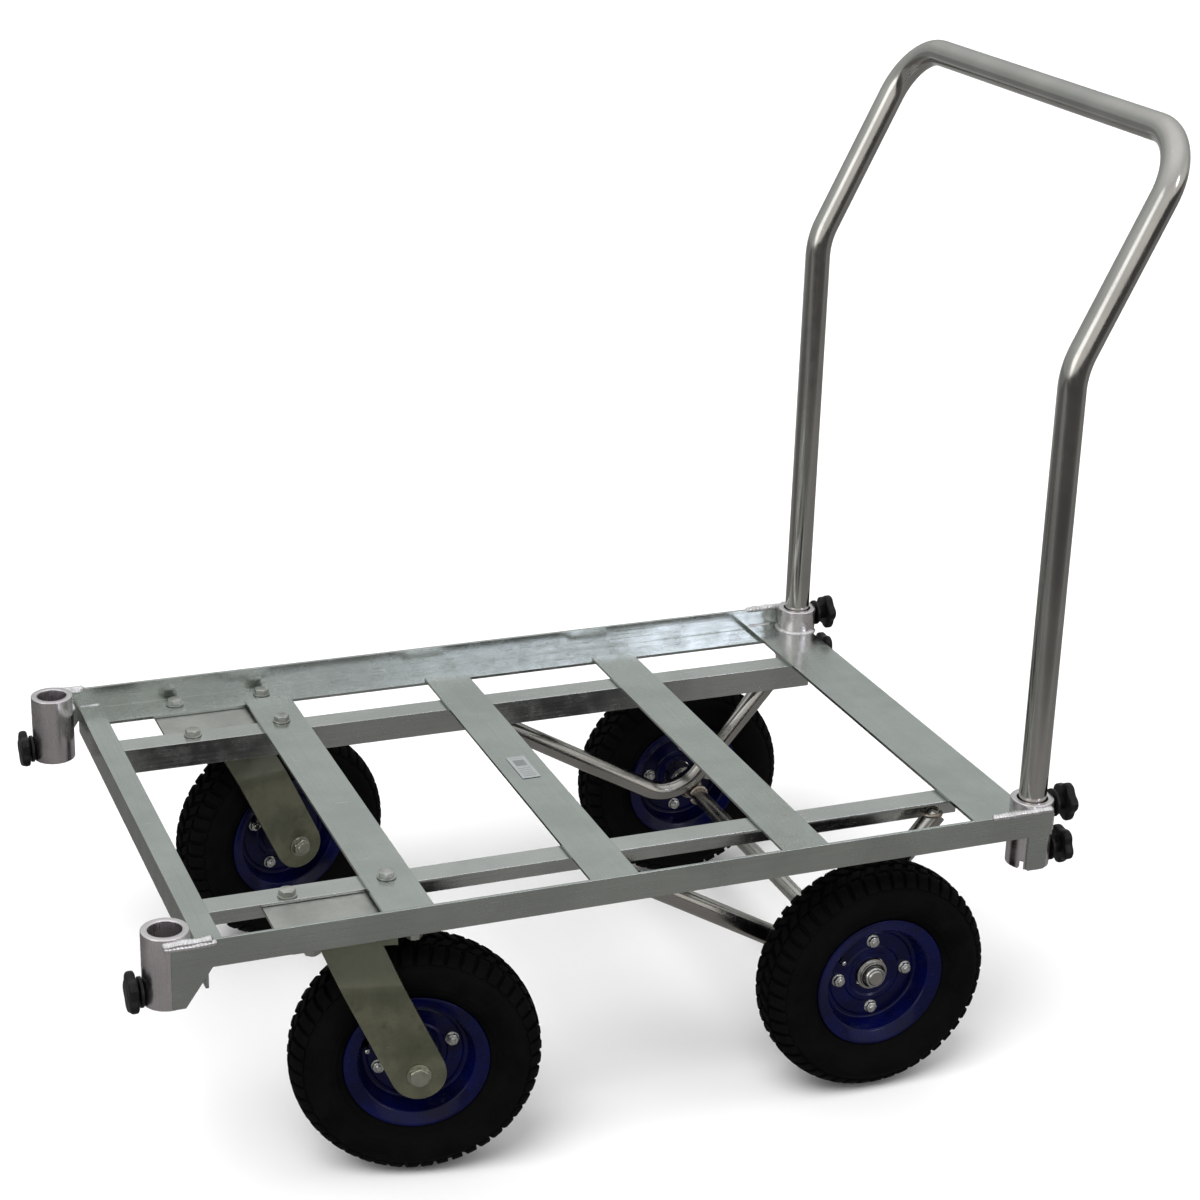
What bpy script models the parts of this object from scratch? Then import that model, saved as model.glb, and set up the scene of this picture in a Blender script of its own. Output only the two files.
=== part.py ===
"""Flat platform cart: open angle frame, lift-out push handle, swivel casters and fixed wheels.

Frame: +Z up, +X from the swivel casters towards the push handle, -Y is the left side.
The origin is the centre of the footprint at ground level. Sizes are in millimetres until
they reach a mesh.
"""

import math

import bmesh
import bpy
from mathutils import Matrix
from mathutils import Vector

MM = 0.001
GAP = 0.3
SHARP_ANGLE = math.radians(40.0)

# Side rails: 40 x 25 x 3 angle, flange flat and inboard, lip upright and outboard
RAIL_OUTER_Y = 271.0
RAIL_FLANGE = 40.0
RAIL_LIP = 25.0
WALL = 3.0
FLANGE_BASE_Z = 247.0
RAIL_FRONT_X = -407.7
RAIL_REAR_X = 372.0
WELD_PLATE_FOOT_Z = 213.0
FRONT_GUSSET_X = (-428.0, -405.0)
REAR_TAB_X = (348.0, 368.0)

# Inner rails: 25 x 25 x 3 angle, leg hanging at the inboard edge
INNER_Y = 159.0
INNER_SIZE = 25.0
INNER_FRONT_X = -407.0
INNER_REAR_X = 334.0

# Crossbars, front to rear
FRONT_BAR_X = -411.0
FRONT_BAR_WIDTH = 22.0
FRONT_BAR_HEIGHT = 27.0
CROSSBAR_WIDTH = 45.0
CROSSBAR_END_Y = 235.0
CROSSBAR_CENTRES = {"crossbar_2": -229.0, "crossbar_3": -42.0, "crossbar_4": 141.0}
REAR_BAR_X = (311.0, 371.0)

LABEL_SIZE = (18.0, 48.0, 0.4)

# Corner sockets and the handle that drops into the rear pair
SOCKET_Y = 250.0
SOCKET_R = 20.0
SOCKET_BORE_R = 14.0
SOCKET_Z = (212.0, 277.0)
FRONT_SOCKET_X = -439.0
REAR_SOCKET_X = 361.0
FOOT_NOTCH_ANGLE = math.radians(137.0)
FOOT_NOTCH = (5.0, 9.0)
HANDLE_R = 12.7
HANDLE_WALL = 2.0
HANDLE_FOOT_Z = 216.0
HANDLE_KNEE_Z = 680.0
HANDLE_KNEE_R = 75.0
HANDLE_LEAN = math.radians(26.5)
HANDLE_UPPER = 217.0
HANDLE_CORNER_R = 55.0

# Clamp knobs
KNOB_HEAD_R = 18.0
KNOB_COLLAR_R = 13.0
KNOB_STUD_R = 4.0
KNOB_LOBES = 5
FRONT_KNOB_Z = 223.0
REAR_KNOB_Z = {"upper": 268.0, "lower": 224.0}

# Wheels: 220 mm pneumatic tyre on a 100 mm rim
TYRE_R = 110.0
WHEEL_SEGMENTS = 24
REAR_AXLE_X = 218.0
REAR_WHEEL_Y = 228.0
REAR_AXLE_R = 8.0
REAR_AXLE_END_Y = 243.0

# Bent tubes that carry the rear axle
STRUT_Y = 178.0
STRUT_R = 10.0
STRUT_BORE_R = 8.0
STRUT_PATH = ((-34.0, 236.0), (193.4, 104.0), (303.7, 236.0))
STRUT_BEND_R = 45.0

# Swivel casters
CASTER_X = -274.0
CASTER_Y = 214.0
CASTER_TRAIL = 55.0
CASTER_YAW = math.radians(12.5)
PLATE_SIZE = (136.0, 102.0, 3.5)
PLATE_TOP_Z = 246.7
BOLT_SPACING = (88.0, 78.0)
BOLT_R = 4.0
FORK_TOP_Z = 237.0
FORK_TOP_R = 38.0
FORK_WALL = 4.0
FORK_OUTER_W = 42.0
FORK_ARM_HALF = 24.0
FORK_RAKE = math.radians(25.0)
CASTER_AXLE_R = 6.0
KINGPIN_R = 6.0

COLOURS = {
    "frame_alloy": (0.60, 0.63, 0.61, 1.0, 0.55, 0.42),
    "handle_alloy": (0.78, 0.77, 0.76, 1.0, 1.0, 0.25),
    "zinc": (0.55, 0.55, 0.50, 1.0, 0.9, 0.40),
    "axle_steel": (0.50, 0.50, 0.50, 1.0, 1.0, 0.35),
    "rim_paint": (0.01, 0.02, 0.16, 1.0, 0.2, 0.30),
    "tyre_rubber": (0.02, 0.02, 0.02, 1.0, 0.0, 0.75),
    "knob_plastic": (0.02, 0.02, 0.02, 1.0, 0.0, 0.45),
    "label_film": (0.75, 0.78, 0.78, 1.0, 0.0, 0.50),
}
SIDES = {"left": -1.0, "right": 1.0}


def clear_scene():
    """Empty the scene of everything it holds."""
    for obj in list(bpy.data.objects):
        bpy.data.objects.remove(obj, do_unlink=True)


def material(name):
    """Return the named Principled material, making it the first time."""
    found = bpy.data.materials.get(name)
    if found:
        return found
    red, green, blue, alpha, metallic, roughness = COLOURS[name]
    made = bpy.data.materials.new(name)
    made.use_nodes = True
    shader = made.node_tree.nodes["Principled BSDF"]
    shader.inputs["Base Color"].default_value = (red, green, blue, alpha)
    shader.inputs["Metallic"].default_value = metallic
    shader.inputs["Roughness"].default_value = roughness
    return made


def add_body(name, points, faces, material_name, origin=(0.0, 0.0, 0.0)):
    """Make one mesh object from points in millimetres, with its origin where asked."""
    base = Vector(origin)
    mesh = bpy.data.meshes.new(name)
    mesh.from_pydata([(Vector(p) - base) * MM for p in points], [], faces)
    shape = bmesh.new()
    shape.from_mesh(mesh)
    bmesh.ops.recalc_face_normals(shape, faces=shape.faces)
    shape.to_mesh(mesh)
    shape.free()
    shade(mesh)
    obj = bpy.data.objects.new(name, mesh)
    obj.location = base * MM
    bpy.context.scene.collection.objects.link(obj)
    if material_name:
        obj.data.materials.append(material(material_name))
    return obj


def shade(mesh):
    """Shade round stretches smooth and keep real edges sharp."""
    mesh.shade_smooth()
    mesh.set_sharp_from_angle(angle=SHARP_ANGLE)


def cut(target, cutters):
    """Subtract closed cutter objects from the target and delete them."""
    for cutter in cutters:
        cutter.hide_render = True
        cutter.display_type = "WIRE"
        step = target.modifiers.new("cut", "BOOLEAN")
        step.operation = "DIFFERENCE"
        step.solver = "EXACT"
        step.object = cutter
    apply_modifiers(target)
    for cutter in cutters:
        bpy.data.objects.remove(cutter, do_unlink=True)
    return target


def keep_common(target, other):
    """Keep only what the target shares with the other closed object, then delete the other."""
    step = target.modifiers.new("common", "BOOLEAN")
    step.operation = "INTERSECT"
    step.solver = "EXACT"
    step.object = other
    apply_modifiers(target)
    bpy.data.objects.remove(other, do_unlink=True)
    return target


def apply_modifiers(target):
    """Bake the target's modifiers into its mesh."""
    bpy.context.view_layer.update()
    graph = bpy.context.evaluated_depsgraph_get()
    baked = bpy.data.meshes.new_from_object(target.evaluated_get(graph))
    target.modifiers.clear()
    target.data = baked
    shade(baked)


def extrude(name, outline, low, high, axis, material_name, origin=(0.0, 0.0, 0.0)):
    """Extrude a closed 2-D outline along X, Y or Z between two stations."""
    place = {
        "X": lambda a, b, c: (c, a, b),
        "Y": lambda a, b, c: (a, c, b),
        "Z": lambda a, b, c: (a, b, c),
    }[axis]
    count = len(outline)
    points = [place(a, b, low) for a, b in outline]
    points += [place(a, b, high) for a, b in outline]
    faces = [tuple(range(count)), tuple(range(2 * count - 1, count - 1, -1))]
    for i in range(count):
        j = (i + 1) % count
        faces.append((i, j, count + j, count + i))
    return add_body(name, points, faces, material_name, origin)


def box(name, low, high, material_name, origin=(0.0, 0.0, 0.0)):
    """Make a rectangular block between two corners."""
    outline = [(low[0], low[1]), (high[0], low[1]), (high[0], high[1]), (low[0], high[1])]
    return extrude(name, outline, low[2], high[2], "Z", material_name, origin)


def axis_basis(direction):
    """Return three unit vectors: two across the direction and the direction itself."""
    along = Vector(direction).normalized()
    helper = Vector((0.0, 0.0, -1.0))
    if abs(along.z) > 0.9:
        helper = Vector((1.0, 0.0, 0.0))
    first = (helper - along * helper.dot(along)).normalized()
    second = along.cross(first)
    return first, second, along


def loft(name, rings, closed, material_name, origin):
    """Skin a stack of equal rings of points, either capped at both ends or joined in a loop."""
    count = len(rings[0])
    points = [p for ring in rings for p in ring]
    faces = []
    last = len(rings) if closed else len(rings) - 1
    for i in range(last):
        here = i * count
        there = ((i + 1) % len(rings)) * count
        for k in range(count):
            m = (k + 1) % count
            faces.append((here + k, here + m, there + m, there + k))
    if not closed:
        faces.append(tuple(range(count - 1, -1, -1)))
        faces.append(tuple(range((len(rings) - 1) * count, len(rings) * count)))
    return add_body(name, points, faces, material_name, origin)


def turned(name, profile, centre, direction, segments, closed, material_name, origin=None):
    """Turn (radius, station) pairs about an axis; closed profiles make rings."""
    first, second, along = axis_basis(direction)
    base = Vector(centre)
    rings = []
    for radius, station in profile:
        ring = []
        for k in range(segments):
            angle = 2.0 * math.pi * k / segments
            spoke = first * math.cos(angle) + second * math.sin(angle)
            ring.append(base + spoke * radius + along * station)
        rings.append(ring)
    return loft(name, rings, closed, material_name, origin or centre)


def drill(centre, direction, radius, length, segments=16):
    """Make a cylindrical cutter centred on a point."""
    profile = [(radius, -length / 2.0), (radius, length / 2.0)]
    return turned("cutter", profile, centre, direction, segments, False, None)


def rounded_path(corners, radii, steps):
    """Replace the inner corners of a 3-D path with arcs."""
    path = [Vector(corners[0])]
    for i in range(1, len(corners) - 1):
        corner = Vector(corners[i])
        back = (Vector(corners[i - 1]) - corner).normalized()
        ahead = (Vector(corners[i + 1]) - corner).normalized()
        half = back.angle(ahead) / 2.0
        radius = radii[i - 1]
        reach = radius / math.tan(half)
        centre = corner + (back + ahead).normalized() * (radius / math.sin(half))
        start = corner + back * reach - centre
        end = corner + ahead * reach - centre
        sweep = start.angle(end)
        for k in range(steps + 1):
            t = k / steps
            a = math.sin((1.0 - t) * sweep) / math.sin(sweep)
            b = math.sin(t * sweep) / math.sin(sweep)
            path.append(centre + start * a + end * b)
    path.append(Vector(corners[-1]))
    return path


def swept_tube(name, path, outer, inner, segments, material_name, origin):
    """Sweep an open-ended round tube along a path that has no twist of its own."""
    tangents = []
    for i, point in enumerate(path):
        before = path[max(i - 1, 0)]
        after = path[min(i + 1, len(path) - 1)]
        tangents.append((after - before).normalized())
    side, _, _ = axis_basis(tangents[0])
    frames = []
    for tangent in tangents:
        side = (side - tangent * side.dot(tangent)).normalized()
        frames.append((side.copy(), tangent.cross(side)))
    rings = []
    for radius, order in ((outer, 1), (inner, -1)):
        skin = []
        for point, (across, over) in zip(path, frames):
            ring = []
            for k in range(segments):
                angle = 2.0 * math.pi * k / segments
                spoke = across * math.cos(angle) + over * math.sin(angle)
                ring.append(point + spoke * radius)
            skin.append(ring)
        rings += skin[::order]
    return loft(name, rings, True, material_name, origin)


def stacked(name, sections, centre, direction, segments, material_name, origin=None):
    """Stack rings whose radius may vary round the axis; each section is (station, radius law)."""
    first, second, along = axis_basis(direction)
    base = Vector(centre)
    rings = []
    for station, law in sections:
        ring = []
        for k in range(segments):
            angle = 2.0 * math.pi * k / segments
            spoke = first * math.cos(angle) + second * math.sin(angle)
            ring.append(base + spoke * law(angle) + along * station)
        rings.append(ring)
    return loft(name, rings, False, material_name, origin or centre)


def round_law(radius):
    """Radius law of a plain circle."""
    return lambda angle: radius


def hex_law(across_flats):
    """Radius law of a hexagon with the given width across its flats."""
    def law(angle):
        step = math.pi / 3.0
        from_flat = angle % step - step / 2.0
        return across_flats / 2.0 / math.cos(from_flat)
    return law


def lobe_law(radius, depth):
    """Radius law of a knob head with shallow finger lobes."""
    return lambda angle: radius - depth * (0.5 - 0.5 * math.cos(KNOB_LOBES * angle))


def make_side_rail(side, sign):
    """Angle rail whose lip runs on over both corner sockets as a weld plate."""
    outer = sign * RAIL_OUTER_Y
    lip_in = sign * (RAIL_OUTER_Y - WALL)
    lip_middle = sign * (RAIL_OUTER_Y - WALL / 2.0)
    toe = sign * (RAIL_OUTER_Y - RAIL_FLANGE)
    low = FLANGE_BASE_Z
    top = low + RAIL_LIP
    flange_rear = REAR_SOCKET_X - SOCKET_R - 1.0
    foot = WELD_PLATE_FOOT_Z
    chamfer = 2.0
    plate = [
        (FRONT_SOCKET_X, foot),
        (FRONT_GUSSET_X[0], foot),
        (FRONT_GUSSET_X[1], low),
        (REAR_TAB_X[0], low),
        (REAR_TAB_X[0], foot + chamfer),
        (REAR_TAB_X[0] + chamfer, foot),
        (REAR_TAB_X[1] - chamfer, foot),
        (REAR_TAB_X[1], foot + chamfer),
        (REAR_TAB_X[1], low),
        (RAIL_REAR_X, low),
        (RAIL_REAR_X, top),
        (FRONT_SOCKET_X, top),
    ]
    rail = extrude("rail_" + side, plate, min(outer, lip_in), max(outer, lip_in), "Y", "frame_alloy")
    flange = box(
        "flange",
        (RAIL_FRONT_X, min(toe, lip_middle), low),
        (flange_rear, max(toe, lip_middle), low + WALL),
        None,
    )
    join = rail.modifiers.new("join", "BOOLEAN")
    join.operation = "UNION"
    join.solver = "EXACT"
    join.object = flange
    apply_modifiers(rail)
    bpy.data.objects.remove(flange, do_unlink=True)
    clear = SOCKET_R + GAP
    cutters = [
        drill((FRONT_SOCKET_X, sign * SOCKET_Y, 250.0), (0, 0, 1), clear, 90.0, 24),
        drill((REAR_SOCKET_X, sign * SOCKET_Y, 250.0), (0, 0, 1), clear, 90.0, 24),
    ]
    for x in bolt_stations():
        centre = (x, sign * (CASTER_Y + BOLT_SPACING[1] / 2.0), low)
        cutters.append(drill(centre, (0, 0, 1), BOLT_R + GAP, 20.0, 12))
    return cut(rail, cutters)


def bolt_stations():
    """Positions along the cart of the caster bolts."""
    return (CASTER_X - BOLT_SPACING[0] / 2.0, CASTER_X + BOLT_SPACING[0] / 2.0)


def make_inner_rail(side, sign):
    """Angle under the crossbars, top flange outboard and leg hanging at the inboard edge."""
    low = FLANGE_BASE_Z
    top = low + WALL
    a = sign * INNER_Y
    b = sign * (INNER_Y + WALL)
    c = sign * (INNER_Y + INNER_SIZE)
    outline = [(a, top - INNER_SIZE), (b, top - INNER_SIZE), (b, low), (c, low), (c, top), (a, top)]
    name = "inner_rail_" + side
    rail = extrude(name, outline, INNER_FRONT_X, INNER_REAR_X, "X", "frame_alloy")
    cutters = []
    for x in bolt_stations():
        centre = (x, sign * (CASTER_Y - BOLT_SPACING[1] / 2.0), low)
        cutters.append(drill(centre, (0, 0, 1), BOLT_R + GAP, 20.0, 12))
    return cut(rail, cutters)


def make_front_crossbar():
    """Angle across the front, upright face ahead of the rails and flange on top of them."""
    top = FLANGE_BASE_Z + 2.0 * WALL + GAP
    front = FRONT_BAR_X
    outline = [
        (front, top - FRONT_BAR_HEIGHT),
        (front + WALL, top - FRONT_BAR_HEIGHT),
        (front + WALL, top - WALL),
        (front + FRONT_BAR_WIDTH, top - WALL),
        (front + FRONT_BAR_WIDTH, top),
        (front, top),
    ]
    reach = RAIL_OUTER_Y - WALL - GAP
    return extrude("crossbar_front", outline, -reach, reach, "Y", "frame_alloy")


def make_crossbar(name, centre_x):
    """Flat bar lying on the rail flanges."""
    base = FLANGE_BASE_Z + WALL + GAP
    low = (centre_x - CROSSBAR_WIDTH / 2.0, -CROSSBAR_END_Y, base)
    high = (centre_x + CROSSBAR_WIDTH / 2.0, CROSSBAR_END_Y, base + WALL)
    bar = box(name, low, high, "frame_alloy")
    bolt_x = bolt_stations()[1]
    if low[0] < bolt_x < high[0]:
        cutters = []
        for sign in SIDES.values():
            centre = (bolt_x, sign * (CASTER_Y - BOLT_SPACING[1] / 2.0), base)
            cutters.append(drill(centre, (0, 0, 1), BOLT_R + GAP, 20.0, 12))
        cut(bar, cutters)
    return bar


def make_rear_crossbar():
    """Wide flat bar at the rear, scalloped round the handle sockets."""
    base = FLANGE_BASE_Z + WALL + GAP
    reach = RAIL_OUTER_Y - WALL - GAP
    low = (REAR_BAR_X[0], -reach, base)
    high = (REAR_BAR_X[1], reach, base + WALL)
    bar = box("crossbar_rear", low, high, "frame_alloy")
    cutters = []
    for sign in SIDES.values():
        centre = (REAR_SOCKET_X, sign * SOCKET_Y, base)
        cutters.append(drill(centre, (0, 0, 1), SOCKET_R + GAP, 40.0, 24))
        outboard = box(
            "cutter",
            (REAR_SOCKET_X, min(sign * SOCKET_Y, sign * 290.0), base - 10.0),
            (REAR_BAR_X[1] + 10.0, max(sign * SOCKET_Y, sign * 290.0), base + 10.0),
            None,
        )
        cutters.append(outboard)
    return cut(bar, cutters)


def foot_notch(x, sign):
    """Cutter for the drain notch at a socket's foot, facing forward and outboard."""
    width, height = FOOT_NOTCH
    out = Vector((math.cos(FOOT_NOTCH_ANGLE), sign * math.sin(FOOT_NOTCH_ANGLE)))
    across = Vector((-out.y, out.x)) * (width / 2.0)
    centre = Vector((x, sign * SOCKET_Y))
    near = centre + out * (SOCKET_BORE_R - 4.0)
    far = centre + out * (SOCKET_R + 4.0)
    outline = [near - across, far - across, far + across, near + across]
    low = SOCKET_Z[0]
    return extrude("cutter", outline, low - 5.0, low + height, "Z", None)


def make_socket(name, x, sign, knob_heights, knob_direction, notched):
    """Thick upright tube with a clamp hole for each knob."""
    low, high = SOCKET_Z
    bevel = 1.5
    profile = [
        (SOCKET_R, low),
        (SOCKET_R, high - bevel),
        (SOCKET_R - bevel, high),
        (SOCKET_BORE_R + bevel, high),
        (SOCKET_BORE_R, high - bevel),
        (SOCKET_BORE_R, low),
    ]
    centre = (x, sign * SOCKET_Y, 0.0)
    tube = turned(name, profile, centre, (0, 0, 1), 24, True, "frame_alloy")
    cutters = []
    for z in knob_heights:
        wall = (x + knob_direction * (SOCKET_R + SOCKET_BORE_R) / 2.0, sign * SOCKET_Y, z)
        cutters.append(drill(wall, (1, 0, 0), KNOB_STUD_R + GAP, 20.0, 12))
    if notched:
        cutters.append(foot_notch(x, sign))
    return cut(tube, cutters)


def make_knob(name, x, sign, z, direction, tip, head_start, head_length):
    """Lobed hand knob with its collar and clamp stud, axis along the cart."""
    surface = SOCKET_R + GAP
    stud = round_law(KNOB_STUD_R)
    collar = round_law(KNOB_COLLAR_R)
    neck = round_law(7.0)
    sections = [
        (tip, stud),
        (surface, stud),
        (surface, collar),
        (surface + 3.0, collar),
        (surface + 3.0, neck),
        (head_start, neck),
        (head_start, lobe_law(KNOB_HEAD_R - 2.0, 2.5)),
        (head_start + 2.0, lobe_law(KNOB_HEAD_R, 3.0)),
        (head_start + head_length - 2.5, lobe_law(KNOB_HEAD_R, 3.0)),
        (head_start + head_length, lobe_law(KNOB_HEAD_R - 3.5, 2.0)),
    ]
    centre = (x, sign * SOCKET_Y, z)
    return stacked(name, sections, centre, (direction, 0, 0), 15, "knob_plastic")


def make_handle():
    """One bent tube: two upright legs, a rearward knee, rounded corners and a top grip."""
    run = math.sin(HANDLE_LEAN) * HANDLE_UPPER
    rise = math.cos(HANDLE_LEAN) * HANDLE_UPPER
    x = REAR_SOCKET_X
    corners = [
        (x, -SOCKET_Y, HANDLE_FOOT_Z),
        (x, -SOCKET_Y, HANDLE_KNEE_Z),
        (x + run, -SOCKET_Y, HANDLE_KNEE_Z + rise),
        (x + run, SOCKET_Y, HANDLE_KNEE_Z + rise),
        (x, SOCKET_Y, HANDLE_KNEE_Z),
        (x, SOCKET_Y, HANDLE_FOOT_Z),
    ]
    radii = (HANDLE_KNEE_R, HANDLE_CORNER_R, HANDLE_CORNER_R, HANDLE_KNEE_R)
    path = rounded_path(corners, radii, 6)
    inner = HANDLE_R - HANDLE_WALL
    origin = (x, 0.0, SOCKET_Z[1])
    return swept_tube("handle", path, HANDLE_R, inner, 12, "handle_alloy", origin)


def make_caster_plate(side, sign):
    """Rectangular top plate bolted up under both flanges."""
    half_x = PLATE_SIZE[0] / 2.0
    half_y = PLATE_SIZE[1] / 2.0
    chamfer = 5.0
    y = sign * CASTER_Y
    outline = [
        (CASTER_X - half_x + chamfer, y - half_y),
        (CASTER_X + half_x - chamfer, y - half_y),
        (CASTER_X + half_x, y - half_y + chamfer),
        (CASTER_X + half_x, y + half_y - chamfer),
        (CASTER_X + half_x - chamfer, y + half_y),
        (CASTER_X - half_x + chamfer, y + half_y),
        (CASTER_X - half_x, y + half_y - chamfer),
        (CASTER_X - half_x, y - half_y + chamfer),
    ]
    low = PLATE_TOP_Z - PLATE_SIZE[2]
    name = "caster_plate_" + side
    plate = extrude(name, outline, low, PLATE_TOP_Z, "Z", "zinc")
    cutters = []
    for x in bolt_stations():
        for step in (-0.5, 0.5):
            centre = (x, y + step * BOLT_SPACING[1], low)
            cutters.append(drill(centre, (0, 0, 1), BOLT_R + GAP, 20.0, 12))
    return cut(plate, cutters)


def make_caster_bolt(name, x, y, head_z):
    """Hexagon bolt and its nut, clamping the flange to the caster plate."""
    nut_top = PLATE_TOP_Z - PLATE_SIZE[2] - GAP
    sections = [
        (nut_top - 9.0, round_law(BOLT_R)),
        (nut_top - 7.0, round_law(BOLT_R)),
        (nut_top - 7.0, hex_law(13.0)),
        (nut_top, hex_law(13.0)),
        (nut_top, round_law(BOLT_R)),
        (head_z, round_law(BOLT_R)),
        (head_z, hex_law(13.0)),
        (head_z + 5.0, hex_law(13.0)),
    ]
    return stacked(name, sections, (x, y, 0.0), (0, 0, 1), 6, "zinc")


def make_caster_race(side, sign):
    """Fixed bearing cup between the top plate and the fork."""
    top = PLATE_TOP_Z - PLATE_SIZE[2] - GAP
    low = FORK_TOP_Z + GAP
    bore = KINGPIN_R + 1.0
    profile = [(32.0, low), (36.0, low + 2.0), (36.0, top), (bore, top), (bore, low)]
    centre = (CASTER_X, sign * CASTER_Y, 0.0)
    return turned("caster_race_" + side, profile, centre, (0, 0, 1), 24, True, "zinc")


def caster_point(sign, along, across, height):
    """Turn a point in the caster's own trailing frame into cart coordinates."""
    yaw = sign * CASTER_YAW
    x = CASTER_X + along * math.cos(yaw) - across * math.sin(yaw)
    y = sign * CASTER_Y + along * math.sin(yaw) + across * math.cos(yaw)
    return (x, y, height)


def caster_axis(sign):
    """Wheel axis of a caster, pointing towards the right side of the cart."""
    yaw = sign * CASTER_YAW
    return (-math.sin(yaw), math.cos(yaw), 0.0)


def swing_into_place(obj, sign):
    """Turn an object modelled about the swivel axis by the caster's rest angle."""
    turn = Matrix.Rotation(sign * CASTER_YAW, 4, "Z")
    obj.data.transform(turn)
    obj.location = Vector((CASTER_X, sign * CASTER_Y, 0.0)) * MM


def make_fork(side, sign):
    """Pressed fork: flat swivel top, splayed shoulders and two raked arms."""
    top = FORK_TOP_Z
    wall = FORK_WALL
    wide = FORK_OUTER_W
    shoulder = 29.0
    knee = 194.0
    foot = TYRE_R - FORK_ARM_HALF - 5.0
    section = [
        (-wide, foot), (-wide, knee), (-shoulder, top), (shoulder, top), (wide, knee), (wide, foot),
        (wide - wall, foot), (wide - wall, knee - 1.0), (shoulder - 3.0, top - wall - 1.0),
        (3.0 - shoulder, top - wall - 1.0), (wall - wide, knee - 1.0), (wall - wide, foot),
    ]
    fork = extrude("fork_" + side, section, -90.0, 120.0, "X", "zinc")
    axle = (CASTER_TRAIL, TYRE_R)
    slope = math.tan(FORK_RAKE)
    cos_rake = math.cos(FORK_RAKE)
    sin_rake = math.sin(FORK_RAKE)
    front = (axle[0] - FORK_ARM_HALF * cos_rake, axle[1] - FORK_ARM_HALF * sin_rake)
    rear = (axle[0] + FORK_ARM_HALF * cos_rake, axle[1] + FORK_ARM_HALF * sin_rake)
    ledge = top - wall - 3.0
    outline = [(-FORK_TOP_R, top + 5.0), (-FORK_TOP_R, ledge)]
    outline.append((front[0] - (ledge - front[1]) * slope, ledge))
    steps = 9
    start = math.pi + FORK_RAKE
    for k in range(steps + 1):
        angle = start + math.pi * k / steps
        outline.append((axle[0] + FORK_ARM_HALF * math.cos(angle),
                        axle[1] + FORK_ARM_HALF * math.sin(angle)))
    outline.append((rear[0] - (ledge - rear[1]) * slope, ledge))
    outline += [(FORK_TOP_R, ledge), (FORK_TOP_R, top + 5.0)]
    shape = extrude("shape", outline, -60.0, 60.0, "Y", None)
    keep_common(fork, shape)
    cutters = [
        drill((0.0, 0.0, top), (0, 0, 1), KINGPIN_R + GAP, 30.0, 12),
        drill((axle[0], 0.0, axle[1]), (0, 1, 0), CASTER_AXLE_R + GAP, 120.0, 12),
    ]
    cut(fork, cutters)
    swing_into_place(fork, sign)
    return fork


def make_kingpin(side, sign):
    """Swivel bolt, headed under the fork and seated in the bearing cup."""
    under = FORK_TOP_Z - FORK_WALL - 1.0 - GAP
    sections = [
        (under - 6.0, hex_law(19.0)),
        (under, hex_law(19.0)),
        (under, round_law(KINGPIN_R)),
        (PLATE_TOP_Z - PLATE_SIZE[2] - 1.0, round_law(KINGPIN_R)),
    ]
    centre = (CASTER_X, sign * CASTER_Y, 0.0)
    return stacked("kingpin_" + side, sections, centre, (0, 0, 1), 6, "zinc")


def make_caster_axle(side, sign):
    """Axle bolt with its head outboard and its nut inboard."""
    face = FORK_OUTER_W + GAP
    sections = [
        (-face - 9.0, round_law(CASTER_AXLE_R)),
        (-face - 7.0, round_law(CASTER_AXLE_R)),
        (-face - 7.0, hex_law(19.0)),
        (-face, hex_law(19.0)),
        (-face, round_law(CASTER_AXLE_R)),
        (face, round_law(CASTER_AXLE_R)),
        (face, hex_law(19.0)),
        (face + 5.5, hex_law(19.0)),
    ]
    centre = caster_point(sign, CASTER_TRAIL, 0.0, TYRE_R)
    axis = Vector(caster_axis(sign)) * sign
    pivot = (CASTER_X, sign * CASTER_Y, TYRE_R)
    return stacked("caster_axle_" + side, sections, centre, axis, 12, "zinc", pivot)


def mirrored(profile):
    """Complete a half profile across the wheel's centre plane."""
    return profile + [(radius, -station) for radius, station in reversed(profile)]


def make_tyre(name, centre, axis):
    """Pneumatic tyre: open carcass whose beads sit inside the rim flanges."""
    outer = [(53.8, 16.2), (63.5, 19.8), (73.0, 30.5), (88.0, 32.0), (103.0, 25.0), (TYRE_R, 12.0)]
    inner = [(105.0, 9.0), (86.0, 26.5), (53.8, 11.0)]
    loop = [(r, s) for r, s in outer]
    loop += [(r, -s) for r, s in reversed(outer)]
    loop += [(r, -s) for r, s in reversed(inner)]
    loop += [(r, s) for r, s in inner]
    return turned(name, loop, centre, axis, WHEEL_SEGMENTS, True, "tyre_rubber")


def make_rim(name, centre, axis):
    """Pressed rim: rolled flanges, drop centre and one recessed web."""
    half = [(15.4, 3.5), (47.0, 3.5), (50.0, 19.0), (61.5, 23.0), (63.0, 20.4), (53.5, 16.7)]
    return turned(name, mirrored(half), centre, axis, WHEEL_SEGMENTS, True, "rim_paint")


def make_hub(name, centre, axis, bore, stations):
    """Turned hub with a stepped nose on each side of the web."""
    inboard, step_in, step_out, outboard = stations
    profile = [
        (bore, inboard), (12.5, inboard), (12.5, step_in), (15.0, step_in),
        (15.0, step_out), (12.5, step_out), (12.5, outboard), (bore, outboard),
    ]
    return turned(name, profile, centre, axis, 16, True, "axle_steel")


def make_wheel(side, position, centre, axis, bore, stations):
    """Tyre, rim and hub that spin together."""
    tag = position + "_" + side
    make_tyre("tyre_" + tag, centre, axis)
    make_rim("rim_" + tag, centre, axis)
    make_hub("hub_" + tag, centre, axis, bore, stations)


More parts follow.
